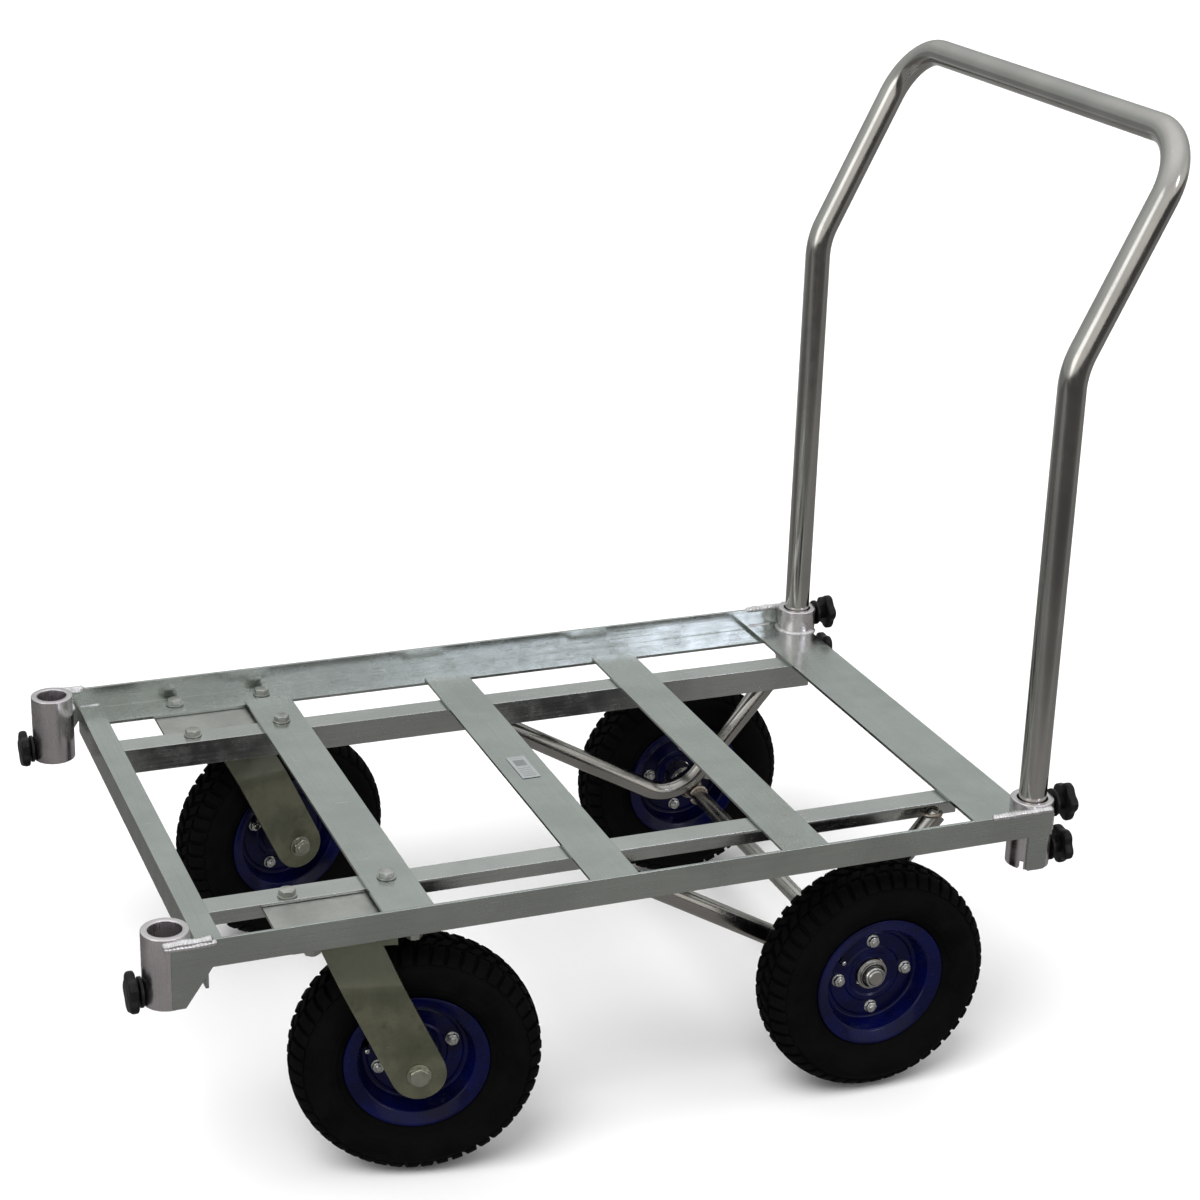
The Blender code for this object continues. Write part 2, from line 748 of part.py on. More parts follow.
def make_strut(side, sign):
    """Bent tube under the inner rail, notched where the axle is welded to it."""
    y = sign * STRUT_Y
    corners = [(x, y, z) for x, z in STRUT_PATH]
    path = rounded_path(corners, (STRUT_BEND_R,), 6)
    origin = (REAR_AXLE_X, y, TYRE_R)
    name = "axle_strut_" + side
    strut = swept_tube(name, path, STRUT_R, STRUT_BORE_R, 12, "frame_alloy", origin)
    notch = drill((REAR_AXLE_X, y, TYRE_R), (0, 1, 0), REAR_AXLE_R + GAP, 60.0, 16)
    return cut(strut, [notch])


def make_rear_axle():
    """Plain steel bar across the cart, carrying both fixed wheels."""
    end = REAR_AXLE_END_Y
    profile = [
        (REAR_AXLE_R - 1.0, -end), (REAR_AXLE_R, 1.0 - end), (REAR_AXLE_R, end - 1.0),
        (REAR_AXLE_R - 1.0, end),
    ]
    centre = (REAR_AXLE_X, 0.0, TYRE_R)
    return turned("rear_axle", profile, centre, (0, 1, 0), 16, False, "axle_steel")


def make_axle_nut(side, sign):
    """Push-on retaining collar at the axle end."""
    start = REAR_WHEEL_Y + 9.5
    profile = [
        (REAR_AXLE_R + GAP, start), (11.5, start), (11.5, start + 3.0),
        (10.0, start + 4.0), (REAR_AXLE_R + GAP, start + 4.0),
    ]
    centre = (REAR_AXLE_X, 0.0, TYRE_R)
    return turned("axle_nut_" + side, profile, centre, (0, sign, 0), 16, True, "zinc")


def make_label():
    """Thin blank rating label on the middle crossbar."""
    base = FLANGE_BASE_Z + 2.0 * WALL + 2.0 * GAP
    x = CROSSBAR_CENTRES["crossbar_3"]
    low = (x - LABEL_SIZE[0] / 2.0, -LABEL_SIZE[1] / 2.0, base)
    high = (x + LABEL_SIZE[0] / 2.0, LABEL_SIZE[1] / 2.0, base + LABEL_SIZE[2])
    return box("label", low, high, "label_film")


def build_frame():
    """Rails, crossbars, sockets, struts and axle."""
    for side, sign in SIDES.items():
        make_side_rail(side, sign)
        make_inner_rail(side, sign)
        make_socket("socket_front_" + side, FRONT_SOCKET_X, sign, (FRONT_KNOB_Z,), -1.0, False)
        heights = tuple(REAR_KNOB_Z.values())
        make_socket("socket_rear_" + side, REAR_SOCKET_X, sign, heights, 1.0, True)
        make_strut(side, sign)
        make_axle_nut(side, sign)
    make_front_crossbar()
    for name, centre_x in CROSSBAR_CENTRES.items():
        make_crossbar(name, centre_x)
    make_rear_crossbar()
    make_rear_axle()
    make_label()


def build_knobs():
    """One clamp knob on each front socket and two on each rear socket."""
    for side, sign in SIDES.items():
        name = "knob_front_" + side
        make_knob(name, FRONT_SOCKET_X, sign, FRONT_KNOB_Z, -1.0, 12.5, SOCKET_R + 5.0, 8.2)
        for level, z in REAR_KNOB_Z.items():
            name = "knob_rear_" + level + "_" + side
            make_knob(name, REAR_SOCKET_X, sign, z, 1.0, 13.2, SOCKET_R + 11.0, 9.0)


def build_casters():
    """Bolted plates, races, forks and swivel wheels."""
    for side, sign in SIDES.items():
        make_caster_plate(side, sign)
        make_caster_race(side, sign)
        make_fork(side, sign)
        make_kingpin(side, sign)
        make_caster_axle(side, sign)
        for row, x in zip(("front", "rear"), bolt_stations()):
            for lane, step in (("inner", -0.5), ("outer", 0.5)):
                on_bar = row == "rear" and lane == "inner"
                head_z = FLANGE_BASE_Z + WALL + GAP + (WALL + GAP if on_bar else 0.0)
                y = sign * (CASTER_Y + step * BOLT_SPACING[1])
                make_caster_bolt("bolt_" + row + "_" + lane + "_" + side, x, y, head_z)
        centre = caster_point(sign, CASTER_TRAIL, 0.0, TYRE_R)
        axis = Vector(caster_axis(sign)) * sign
        stations = (-37.0, -20.0, 20.0, 37.0)
        make_wheel(side, "front", centre, axis, CASTER_AXLE_R + 0.4, stations)


def build_rear_wheels():
    """Fixed wheels on the ends of the rear axle."""
    for side, sign in SIDES.items():
        centre = (REAR_AXLE_X, sign * REAR_WHEEL_Y, TYRE_R)
        stations = (-38.0, -20.0, 6.0, 9.0)
        make_wheel(side, "rear", centre, (0.0, sign, 0.0), REAR_AXLE_R + 0.4, stations)


clear_scene()
build_frame()
build_knobs()
build_casters()
build_rear_wheels()
make_handle()
bpy.context.view_layer.update()
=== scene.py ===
import math

import bmesh
import bpy
from mathutils import Matrix, Vector, noise


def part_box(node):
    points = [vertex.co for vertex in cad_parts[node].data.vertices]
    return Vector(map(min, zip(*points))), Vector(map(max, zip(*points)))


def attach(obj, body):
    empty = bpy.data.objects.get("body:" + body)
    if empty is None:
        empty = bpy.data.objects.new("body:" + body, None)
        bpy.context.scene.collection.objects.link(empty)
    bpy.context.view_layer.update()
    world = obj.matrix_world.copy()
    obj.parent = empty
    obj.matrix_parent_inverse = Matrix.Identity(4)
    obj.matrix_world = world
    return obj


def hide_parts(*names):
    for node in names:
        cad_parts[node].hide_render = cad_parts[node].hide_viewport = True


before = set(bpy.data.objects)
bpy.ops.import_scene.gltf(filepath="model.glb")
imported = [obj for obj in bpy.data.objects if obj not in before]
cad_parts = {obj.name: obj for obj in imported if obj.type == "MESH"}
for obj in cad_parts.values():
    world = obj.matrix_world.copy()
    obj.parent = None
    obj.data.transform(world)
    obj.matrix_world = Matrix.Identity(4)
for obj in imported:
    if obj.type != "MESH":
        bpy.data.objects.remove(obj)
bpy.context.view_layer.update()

MM = 0.001
SIDES = {"left": -1.0, "right": 1.0}

# Positions shared with the CAD, in millimetres
SOCKET_Y = 250.0
FRONT_SOCKET_X = -439.0
REAR_SOCKET_X = 361.0
SOCKET_Z = (212.0, 277.0)
SOCKET_R = 20.0
SOCKET_BORE_R = 14.0
NOTCH_ANGLE = math.radians(137.0)
HANDLE_R = 12.7
HANDLE_FOOT_Z = 216.0
HANDLE_KNEE_Z = 680.0
HANDLE_LEAN = math.radians(26.5)
HANDLE_UPPER = 217.0
AXLE_Z = 110.0
REAR_AXLE_X = 218.0
REAR_WHEEL_Y = 228.0
AXLE_HOLE_R = 8.3
STRUT_Y = 178.0
STRUT_R = 10.0
STRUT_BEND = 45.0
STRUT_PATH = ((-34.0, 236.0), (193.4, 104.0), (303.7, 236.0))
CASTER_X = -274.0
CASTER_Y = 214.0
CASTER_TRAIL = 55.0
CASTER_YAW = math.radians(12.5)
BOLT_X = {"front": -318.0, "rear": -230.0}
BOLT_Y = {"inner": 175.0, "outer": 253.0}
FLANGE_TOP = 250.0
BAR_TOP = 253.3
PLATE_BASE = 243.2
KING_BOLT_Z = 225.9
CROSSBAR_X = (-229.0, -42.0, 141.0)
CLAMPS = {"front": [("front", 223.0)], "rear": [("rear_upper", 268.0), ("rear_lower", 224.0)]}

# Finish of the meshes: crease angles in degrees, weld bead steps in millimetres
SHARP_ANGLE = 35.0
WELD_SHARP = 60.0
BEVEL_ANGLE = 38.0
NEARLY_FLAT = math.radians(0.6)
NEARLY_STRAIGHT = math.radians(88.0)
BEAD_STEP = 0.8
BEAD_PITCH = 3.2


# ---- mesh tools

def merged(*shapes):
    """Join several (points, faces) shapes into one."""
    points, faces = [], []
    for more_points, more_faces in shapes:
        start = len(points)
        points += more_points
        faces += [tuple(i + start for i in face) for face in more_faces]
    return points, faces


def moved(shape, matrix):
    """Transform a shape by a matrix whose lengths are in millimetres."""
    return [matrix @ Vector(p) for p in shape[0]], shape[1]


def aimed(centre, direction, turn=0.0):
    """Matrix that puts a shape's local Z along a direction at a point."""
    spin = Matrix.Rotation(turn, 4, "Z")
    swing = Vector((0, 0, 1)).rotation_difference(Vector(direction)).to_matrix().to_4x4()
    return Matrix.Translation(Vector(centre)) @ swing @ spin


def skinned(rings, closed):
    """Skin a stack of equal rings, either capped at both ends or joined in a loop."""
    count = len(rings[0])
    points = [p for ring in rings for p in ring]
    faces = []
    for i in range(len(rings) if closed else len(rings) - 1):
        here, there = i * count, (i + 1) % len(rings) * count
        for k in range(count):
            m = (k + 1) % count
            faces.append((here + k, here + m, there + m, there + k))
    if not closed:
        faces += [tuple(range(count - 1, -1, -1)), tuple(range(len(points) - count, len(points)))]
    return points, faces


def ring_points(radius, station, segments):
    """A ring about local Z; the radius may be a number or a function of the angle."""
    ring = []
    for k in range(segments):
        angle = 2.0 * math.pi * k / segments
        r = radius(angle) if callable(radius) else radius
        ring.append(Vector((r * math.cos(angle), r * math.sin(angle), station)))
    return ring


def lathe(profile, segments=64, closed=True):
    """Turn (radius, station) pairs about local Z."""
    return skinned([ring_points(r, s, segments) for r, s in profile], closed)


def arc_between(centre, start, end, steps):
    """Points of an arc about a centre, from one offset to another."""
    sweep = start.angle(end)
    out = []
    for k in range(steps + 1):
        t = k / steps
        w = start * math.sin((1.0 - t) * sweep) + end * math.sin(t * sweep)
        out.append(centre + w / math.sin(sweep))
    return out


def rounded(profile, radius, steps=4):
    """Replace the corners of a closed flat outline with arcs of one radius, or one for each."""
    out = []
    for i, corner in enumerate(profile):
        p = Vector(corner)
        r = radius[i] if isinstance(radius, list) else radius
        a = Vector(profile[i - 1]) - p
        b = Vector(profile[(i + 1) % len(profile)]) - p
        half = a.angle(b) / 2.0
        if r <= 0.0 or half > NEARLY_STRAIGHT:
            out.append(p)
            continue
        reach = min(r / math.tan(half), 0.48 * a.length, 0.48 * b.length)
        a.normalize()
        b.normalize()
        centre = p + (a + b).normalized() * (reach / math.cos(half))
        out += arc_between(centre, p + a * reach - centre, p + b * reach - centre, steps)
    return out


def path_frames(path):
    """Tangent, side and up vectors along a path, carried without twist."""
    last = len(path) - 1
    tangents = [(path[min(i + 1, last)] - path[max(i - 1, 0)]).normalized()
                for i in range(len(path))]
    helper = Vector((0, 0, 1)) if abs(tangents[0].z) < 0.9 else Vector((1, 0, 0))
    side = helper - tangents[0] * helper.dot(tangents[0])
    frames = []
    for tangent in tangents:
        side = (side - tangent * side.dot(tangent)).normalized()
        frames.append((tangent, side.copy(), tangent.cross(side)))
    return frames


def sweep_ring(point, side, up, radius, segments):
    """One ring of a swept tube."""
    angles = [2.0 * math.pi * k / segments for k in range(segments)]
    return [point + (side * math.cos(a) + up * math.sin(a)) * radius for a in angles]


def tube(path, outer, inner, segments, edge=0.5):
    """Hollow tube along a path, with its end edges broken."""
    frames = path_frames(path)
    start = path[0]
    end = path[-1]
    stations = [(start, 0, -edge), (start + frames[0][0] * edge, 0, 0.0)]
    stations += [(p, i, 0.0) for i, p in enumerate(path) if 0 < i < len(path) - 1]
    stations += [(end - frames[-1][0] * edge, -1, 0.0), (end, -1, -edge)]
    rings = []
    for sign, radius in ((1.0, outer), (-1.0, inner)):
        skin = []
        for point, i, inset in stations:
            _, side, up = frames[i]
            skin.append(sweep_ring(point, side, up, radius + sign * inset, segments))
        rings += skin if sign > 0 else skin[::-1]
    return skinned(rings, True)


def bent(corners, radii, steps=14):
    """3-D path through corners with an arc at each inner one."""
    points = [Vector(c) for c in corners]
    path = [points[0]]
    for before, corner, after, radius in zip(points, points[1:], points[2:], radii):
        back = (before - corner).normalized()
        ahead = (after - corner).normalized()
        half = back.angle(ahead) / 2.0
        reach = radius / math.tan(half)
        centre = corner + (back + ahead).normalized() * (radius / math.sin(half))
        start = corner + back * reach - centre
        path += arc_between(centre, start, corner + ahead * reach - centre, steps)
    return path + [points[-1]]


def resampled(path, step):
    """Points spaced evenly along a polyline."""
    out = [path[0].copy()]
    for a, b in zip(path, path[1:]):
        count = max(1, round((b - a).length / step))
        out += [a.lerp(b, k / count) for k in range(1, count + 1)]
    return out


def bead(corners, radius, seed):
    """Rippled weld bead that sits half sunk along a line."""
    path = resampled([Vector(c) for c in corners], BEAD_STEP)
    length = BEAD_STEP * (len(path) - 1)
    rings = []
    for i, (_, side, up) in enumerate(path_frames(path)):
        s = BEAD_STEP * i
        ripple = 0.88 + 0.14 * abs(math.sin(math.pi * s / BEAD_PITCH))
        drift = noise.noise(Vector((s * 0.11, seed, 3.7))) * 0.24
        ends = min(1.0, 0.35 + s / 3.0, 0.35 + (length - s) / 3.0)
        wander = Vector((0.0, 0.0, noise.noise(Vector((s * 0.09, seed, 9.1))) * 0.5))
        rings.append(sweep_ring(path[i] + wander, side, up, radius * (ripple + drift) * ends, 12))
    return skinned(rings, False)


def arc(centre, radius, start, end, plane="XY", steps=24):
    """Points of an arc about a point, in degrees."""
    out = []
    for k in range(steps + 1):
        angle = math.radians(start + (end - start) * k / steps)
        c, s = radius * math.cos(angle), radius * math.sin(angle)
        out.append(Vector(centre) + Vector((c, s, 0.0) if plane == "XY" else (c, 0.0, s)))
    return out


def band(inner, outer, low, high):
    """Outline of a plain ring."""
    return [(inner, low), (outer, low), (outer, high), (inner, high)]


def hexagon(across, low, high, chamfer=0.8):
    """Hexagon prism whose top corners are turned down to a circle."""
    def ring(limit, station):
        def law(angle):
            flat = across / 2.0 / math.cos(angle % (math.pi / 3.0) - math.pi / 6.0)
            return min(flat, across * limit)
        return ring_points(law, station, 60)

    return skinned([
        ring(0.56, low), ring(0.5774, low + chamfer * 0.3), ring(0.5774, high - chamfer),
        ring(0.535, high - chamfer * 0.4), ring(0.475, high),
    ], False)


def shaded(mesh, sharp=SHARP_ANGLE):
    """Shade a mesh smooth up to a crease angle in degrees."""
    mesh.shade_smooth()
    mesh.set_sharp_from_angle(angle=math.radians(sharp))
    return mesh


def tuned(target, **settings):
    """Set several properties of a thing and hand it back."""
    for key, value in settings.items():
        setattr(target, key, value)
    return target


def make_mesh(name, shape, sharp=SHARP_ANGLE):
    """Mesh data from a shape in millimetres, with normals outward and smooth shading."""
    mesh = bpy.data.meshes.new(name)
    mesh.from_pydata([Vector(p) * MM for p in shape[0]], [], shape[1])
    work = bmesh.new()
    work.from_mesh(mesh)
    bmesh.ops.recalc_face_normals(work, faces=work.faces)
    work.to_mesh(mesh)
    work.free()
    return shaded(mesh, sharp)


def linked(name, data):
    """New object in the scene."""
    obj = bpy.data.objects.new(name, data)
    bpy.context.scene.collection.objects.link(obj)
    return obj


def piece(name, mesh, surface, body, nodes=(), at=None):
    """Show a mesh as a piece that rides on a body and stands for CAD nodes."""
    if at is not None:
        mesh = mesh.copy()
        mesh.transform(at)
    mesh.materials.clear()
    mesh.materials.append(surface)
    obj = linked(name, mesh)
    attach(obj, body)
    if nodes:
        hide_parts(*nodes)


def baked(obj):
    """The object's mesh with its modifiers applied; the object itself is removed."""
    bpy.context.view_layer.update()
    graph = bpy.context.evaluated_depsgraph_get()
    mesh = bpy.data.meshes.new_from_object(obj.evaluated_get(graph))
    bpy.data.objects.remove(obj, do_unlink=True)
    return mesh


def softened(node_name, width, segments=2, crease=None):
    """A copy of a CAD node's mesh with its sharp edges rounded.

    crease gives the least and greatest angle of the shallow creases that are rolled, and how wide.
    """
    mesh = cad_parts[node_name].data.copy()
    mesh.materials.clear()
    work = bmesh.new()
    work.from_mesh(mesh)
    bmesh.ops.remove_doubles(work, verts=work.verts, dist=2e-6)
    bmesh.ops.dissolve_limit(work, angle_limit=NEARLY_FLAT, verts=work.verts, edges=work.edges)
    if crease:
        work.normal_update()
        shallow = [e for e in work.edges if len(e.link_faces) == 2
                   and crease[0] < math.degrees(e.calc_face_angle(0.0)) < crease[1]]
        bmesh.ops.bevel(work, geom=shallow, offset=crease[2] * MM, segments=6, profile=0.5,
                        affect="EDGES", clamp_overlap=True)
    for edge in work.edges:
        edge.smooth = True
    work.to_mesh(mesh)
    work.free()
    if "custom_normal" in mesh.attributes:
        mesh.attributes.remove(mesh.attributes["custom_normal"])
    mesh.shade_smooth()
    temp = linked("temp", mesh)
    tuned(temp.modifiers.new("bevel", "BEVEL"), width=width * MM, segments=segments,
          limit_method="ANGLE", angle_limit=math.radians(BEVEL_ANGLE), use_clamp_overlap=True)
    tuned(temp.modifiers.new("weighted", "WEIGHTED_NORMAL"), keep_sharp=True, weight=80)
    return baked(temp)


def subtract(mesh, cutters):
    """Cut closed shapes out of a mesh."""
    temp = linked("temp", mesh)
    tools = []
    for shape in cutters:
        tool = linked("tool", make_mesh("tool", shape))
        tuned(temp.modifiers.new("cut", "BOOLEAN"), operation="DIFFERENCE", solver="EXACT",
              object=tool)
        tools.append(tool)
    mesh = baked(temp)
    for tool in tools:
        bpy.data.objects.remove(tool, do_unlink=True)
    return shaded(mesh)


# ---- materials

def feed(tree, socket, value):
    """Give a socket a number, a vector, a colour or another socket's output."""
    if isinstance(value, bpy.types.NodeSocket):
        tree.links.new(value, socket)
    elif socket.type == "RGBA":
        socket.default_value = (*value, 1.0)
    else:
        socket.default_value = value


def node(tree, kind, inputs=(), **settings):
    """New shader node with its settings, and its inputs fed by name or number."""
    made = tuned(tree.nodes.new("ShaderNode" + kind), **settings)
    for key, value in dict(inputs).items():
        feed(tree, made.inputs[key], value)
    return made


def split_axes(tree):
    """Place on the object, and its X, Y and Z."""
    coords = node(tree, "TexCoord")
    return node(tree, "SeparateXYZ", {"Vector": coords.outputs["Object"]}).outputs


def field(tree, scale, detail=3.0, roughness=0.55, turn=(0.0, 0.0, 0.0), offset=(0.0, 0.0, 0.0)):
    """Noise over the piece; its scale in cycles a metre is one number, or one for each axis."""
    place = node(tree, "Mapping", {
        "Vector": node(tree, "TexCoord").outputs["Object"],
        "Scale": scale if isinstance(scale, tuple) else (scale, scale, scale),
        "Rotation": turn,
        "Location": offset,
    })
    cells = node(tree, "TexNoise", {
        "Vector": place.outputs["Vector"], "Scale": 1.0, "Detail": detail, "Roughness": roughness})
    return cells.outputs["Fac"]


def ranged(tree, source, low, high, out_low=0.0, out_high=1.0, ease="SMOOTHSTEP"):
    """Map one range to another, clamped."""
    step = node(tree, "MapRange", {
        "Value": source, "From Min": low, "From Max": high, "To Min": out_low, "To Max": out_high,
    }, interpolation_type=ease)
    return step.outputs["Result"]


def mixed(tree, factor, first, second, kind="MIX"):
    """Mix two colours; each value is a number, a colour or a socket."""
    step = node(tree, "Mix", {"Factor": factor}, data_type="RGBA", blend_type=kind)
    for socket, value in zip([s for s in step.inputs if s.type == "RGBA"], (first, second)):
        feed(tree, socket, value)
    return next(s for s in step.outputs if s.type == "RGBA")


def sums(tree, kind, first, second):
    """Math node on two sockets or numbers."""
    return node(tree, "Math", {0: first, 1: second}, operation=kind).outputs["Value"]


def bumped(tree, shader, height, strength, distance):
    """Drive the shader's normal from a height."""
    step = node(tree, "Bump", {"Strength": strength, "Distance": distance, "Height": height})
    tree.links.new(step.outputs["Normal"], shader.inputs["Normal"])


def blank(name):
    """New node material and its Principled shader."""
    made = bpy.data.materials.new(name)
    made.use_nodes = True
    return made, made.node_tree, made.node_tree.nodes["Principled BSDF"]


# Bare metal's shared detail: scales in cycles a metre, heights in metres
NICK_SCALE = (26.0, 420.0, 420.0)
STAIN_SCALE = 36.0
SMUDGE_SCALE = 55.0
PIT_SCALE = 900.0
# wobble of the painted shade's edge, in metres
PLATE_SHADE_WAVE = 0.012
METAL_RELIEF = 0.00012


def metal(name, dark, light, rough, grain, blotch=14.0, lines=0.5, soot=None, relief=0.22,
          plate_shade=None):
    """Bare metal with drawn grain, cloudy tone, handling smudges and fine scratches.

    soot is the colour of scattered stains. plate_shade gives two heights in metres and the colour
    that
    the metal fades to between them: painted shade, darker higher up, as under the caster plate.
    """
    made, tree, shader = blank(name)
    shader.inputs["Metallic"].default_value = 1.0
    cloud = field(tree, blotch, 4.0)
    tone = mixed(tree, ranged(tree, cloud, 0.36, 0.64), dark, light)
    drawn = field(tree, grain, 4.0, 0.7)
    shade = tuple(c * 0.78 for c in dark)
    tone = mixed(tree, ranged(tree, drawn, 0.42, 0.80, 0.0, lines), tone, shade)
    nicks = field(tree, NICK_SCALE, 2.0, 0.5, (0.5, 0.3, 0.7))
    glint = tuple(min(1.0, c * 1.25) for c in light)
    tone = mixed(tree, ranged(tree, nicks, 0.72, 0.78, 0.0, 0.7), tone, glint)
    if soot:
        stain = field(tree, STAIN_SCALE, 5.0, 0.6, offset=(4.0, 2.0, 1.0))
        tone = mixed(tree, ranged(tree, stain, 0.56, 0.72, 0.0, 0.75), tone, soot)
    # painted shade: above a height the metal fades to a darker colour, standing in for the shade
    # under the caster plate
    if plate_shade:
        wave = sums(tree, "MULTIPLY", cloud, PLATE_SHADE_WAVE)
        height = sums(tree, "ADD", split_axes(tree)["Z"], wave)
        tone = mixed(tree, ranged(tree, height, plate_shade[0], plate_shade[1]), tone, plate_shade[2])
    tree.links.new(tone, shader.inputs["Base Color"])
    smudge = field(tree, SMUDGE_SCALE, 5.0, 0.6, offset=(7.0, 1.0, 3.0))
    base = ranged(tree, smudge, 0.35, 0.70, rough[0], rough[1])
    finish = sums(tree, "ADD", base, ranged(tree, drawn, 0.3, 0.75, -0.04, 0.06))
    tree.links.new(finish, shader.inputs["Roughness"])
    pits = field(tree, PIT_SCALE, 2.0)
    height = sums(tree, "ADD", drawn, sums(tree, "MULTIPLY", pits, 0.5))
    bumped(tree, shader, height, relief, METAL_RELIEF)
    return made


def grain_along(axis, fine=1300.0):
    """Noise scale that draws lines along one axis."""
    return tuple(5.0 if a == axis else fine for a in "XYZ")


ALLOY = {
    axis: metal("mill_alloy_" + axis.lower(), (0.43, 0.46, 0.44), (0.49, 0.525, 0.50),
                (0.19, 0.28), grain_along(axis))
    for axis in "XY"
}
# paler copy of the rail alloy for the under rails: painted light that lifts them out of the shade
# under the deck
UNDER_RAIL_LIT_ALLOY = metal("under_rail_lit_alloy", (0.48, 0.50, 0.485), (0.55, 0.57, 0.555), (0.19, 0.28), grain_along("X"))
SOCKET = metal("socket_alloy", (0.66, 0.63, 0.65), (0.76, 0.725, 0.745), (0.24, 0.34),
               grain_along("Z"))
TUBE = metal("polished_alloy", (0.43, 0.425, 0.41), (0.51, 0.50, 0.48), (0.12, 0.20),
             grain_along("Z", 900.0), blotch=9.0, lines=0.18, relief=0.10)
# darker copy of the polished tube alloy for the struts: painted shade for the shade under the deck
SHADED_STRUT_ALLOY = metal("drawn_tube_alloy_shaded", (0.36, 0.35, 0.335), (0.45, 0.44, 0.42), (0.16, 0.24),
              grain_along("X", 700.0), lines=0.25, relief=0.10)
# the forks and bearing cups darken from 184 to 216 mm up with painted shade from the caster plate
# above
ZINC = metal("olive_zinc", (0.18, 0.19, 0.135), (0.265, 0.27, 0.195), (0.40, 0.54), 160.0,
             blotch=26.0, lines=0.30, soot=(0.125, 0.13, 0.092),
             plate_shade=(0.184, 0.216, (0.125, 0.132, 0.100)))
PLATE = metal("plate_zinc", (0.40, 0.41, 0.385), (0.49, 0.50, 0.47), (0.34, 0.46), 200.0,
              blotch=24.0, lines=0.25)
HARDWARE = metal("bright_zinc", (0.50, 0.51, 0.50), (0.66, 0.67, 0.66), (0.22, 0.34), 300.0,
                 blotch=60.0, lines=0.25)
BOLT = metal("satin_zinc", (0.37, 0.38, 0.36), (0.50, 0.51, 0.48), (0.32, 0.44), 300.0,
             blotch=60.0, lines=0.30)
DULL = metal("dull_zinc", (0.33, 0.34, 0.27), (0.46, 0.46, 0.40), (0.28, 0.42), 300.0,
             blotch=70.0, lines=0.3)
STEEL = metal("turned_steel", (0.42, 0.415, 0.39), (0.50, 0.495, 0.47), (0.26, 0.32),
              (420.0, 60.0, 420.0), blotch=30.0, lines=0.12, relief=0.05)
WELD = metal("weld_bead", (0.62, 0.62, 0.63), (0.80, 0.80, 0.81), (0.28, 0.42), 260.0,
             blotch=90.0, lines=0.25, soot=(0.34, 0.32, 0.30))
BRAZE = metal("scorched_weld", (0.30, 0.25, 0.20), (0.46, 0.41, 0.36), (0.38, 0.56), 240.0,
              blotch=80.0, lines=0.4, soot=(0.10, 0.085, 0.07))


def coating(name, cloud, fade, dark, light, rough, dust=None, relief=None, levels=()):
    """Rubber, paint, plastic or film: a cloudy tone, settled dust and a fine grain.

    cloud is a noise's scale and detail, and fade how the second tone comes in over it. dust is a
    noise's scale and offset, its range, its colour, and whether the roughness follows it. relief
    is a grain's scale and detail, and the bump's strength and height.
    """
    made, tree, shader = blank(name)
    source = field(tree, *cloud)
    tone = mixed(tree, ranged(tree, source, *fade), dark, light)
    if dust:
        scale, offset, spread, colour, leads = dust
        specks = field(tree, scale, 6.0, 0.7, offset=offset)
        tone = mixed(tree, ranged(tree, specks, *spread), tone, colour)
        source = specks if leads else source
    tree.links.new(tone, shader.inputs["Base Color"])
    tree.links.new(ranged(tree, source, *rough), shader.inputs["Roughness"])
    for key, value in dict(levels).items():
        shader.inputs[key].default_value = value
    if relief:
        scale, detail, strength, height = relief
        bumped(tree, shader, field(tree, scale, detail), strength, height)
    return made


RUBBER = coating(
    "tyre_rubber", (38.0, 5.0), (0.35, 0.70), (0.0010, 0.0010, 0.0011), (0.0024, 0.0023, 0.0022),
    (0.3, 0.7, 0.62, 0.82),
    dust=(160.0, (2.0, 5.0, 1.0), (0.62, 0.84, 0.0, 0.30), (0.0085, 0.0082, 0.0075), False),
    relief=(1400.0, 3.0, 0.35, 0.00015), levels={"Specular IOR Level": 0.06})
PAINT = coating(
    "navy_paint", (30.0, 4.0), (0.35, 0.65), (0.0004, 0.0009, 0.016), (0.0007, 0.0018, 0.034),
    (0.4, 0.8, 0.20, 0.36),
    dust=(240.0, (1.0, 8.0, 2.0), (0.66, 0.86, 0.0, 0.15), (0.0035, 0.0055, 0.028), True),
    relief=(360.0, 2.0, 0.12, 0.0002),
    levels={"Specular IOR Level": 0.14, "Coat Weight": 0.08, "Coat Roughness": 0.08})
KNOB = coating(
    "knob_plastic", (90.0, 4.0), (0.35, 0.65), (0.0030, 0.0030, 0.0034), (0.0065, 0.0065, 0.0072),
    (0.3, 0.7, 0.30, 0.44), relief=(1800.0, 2.0, 0.30, 0.00012),
    levels={"Specular IOR Level": 0.22})
FILM = coating(
    "label_film", (120.0, 5.0), (0.45, 0.75, 0.0, 0.6), (0.30, 0.315, 0.32), (0.25, 0.26, 0.265),
    (0.3, 0.7, 0.32, 0.50), relief=(600.0, 2.0, 0.10, 0.0001))
INK = coating(
    "label_ink", (300.0, 4.0), (0.50, 0.72, 0.0, 0.5), (0.155, 0.165, 0.165), (0.20, 0.21, 0.21),
    (0.3, 0.7, 0.4, 0.55))


# ---- frame

def carried(name, node_name, width, surface):
    """Show a frame node's own CAD shape with its edges broken."""
    piece(name, softened(node_name, width), surface, "frame", [node_name])


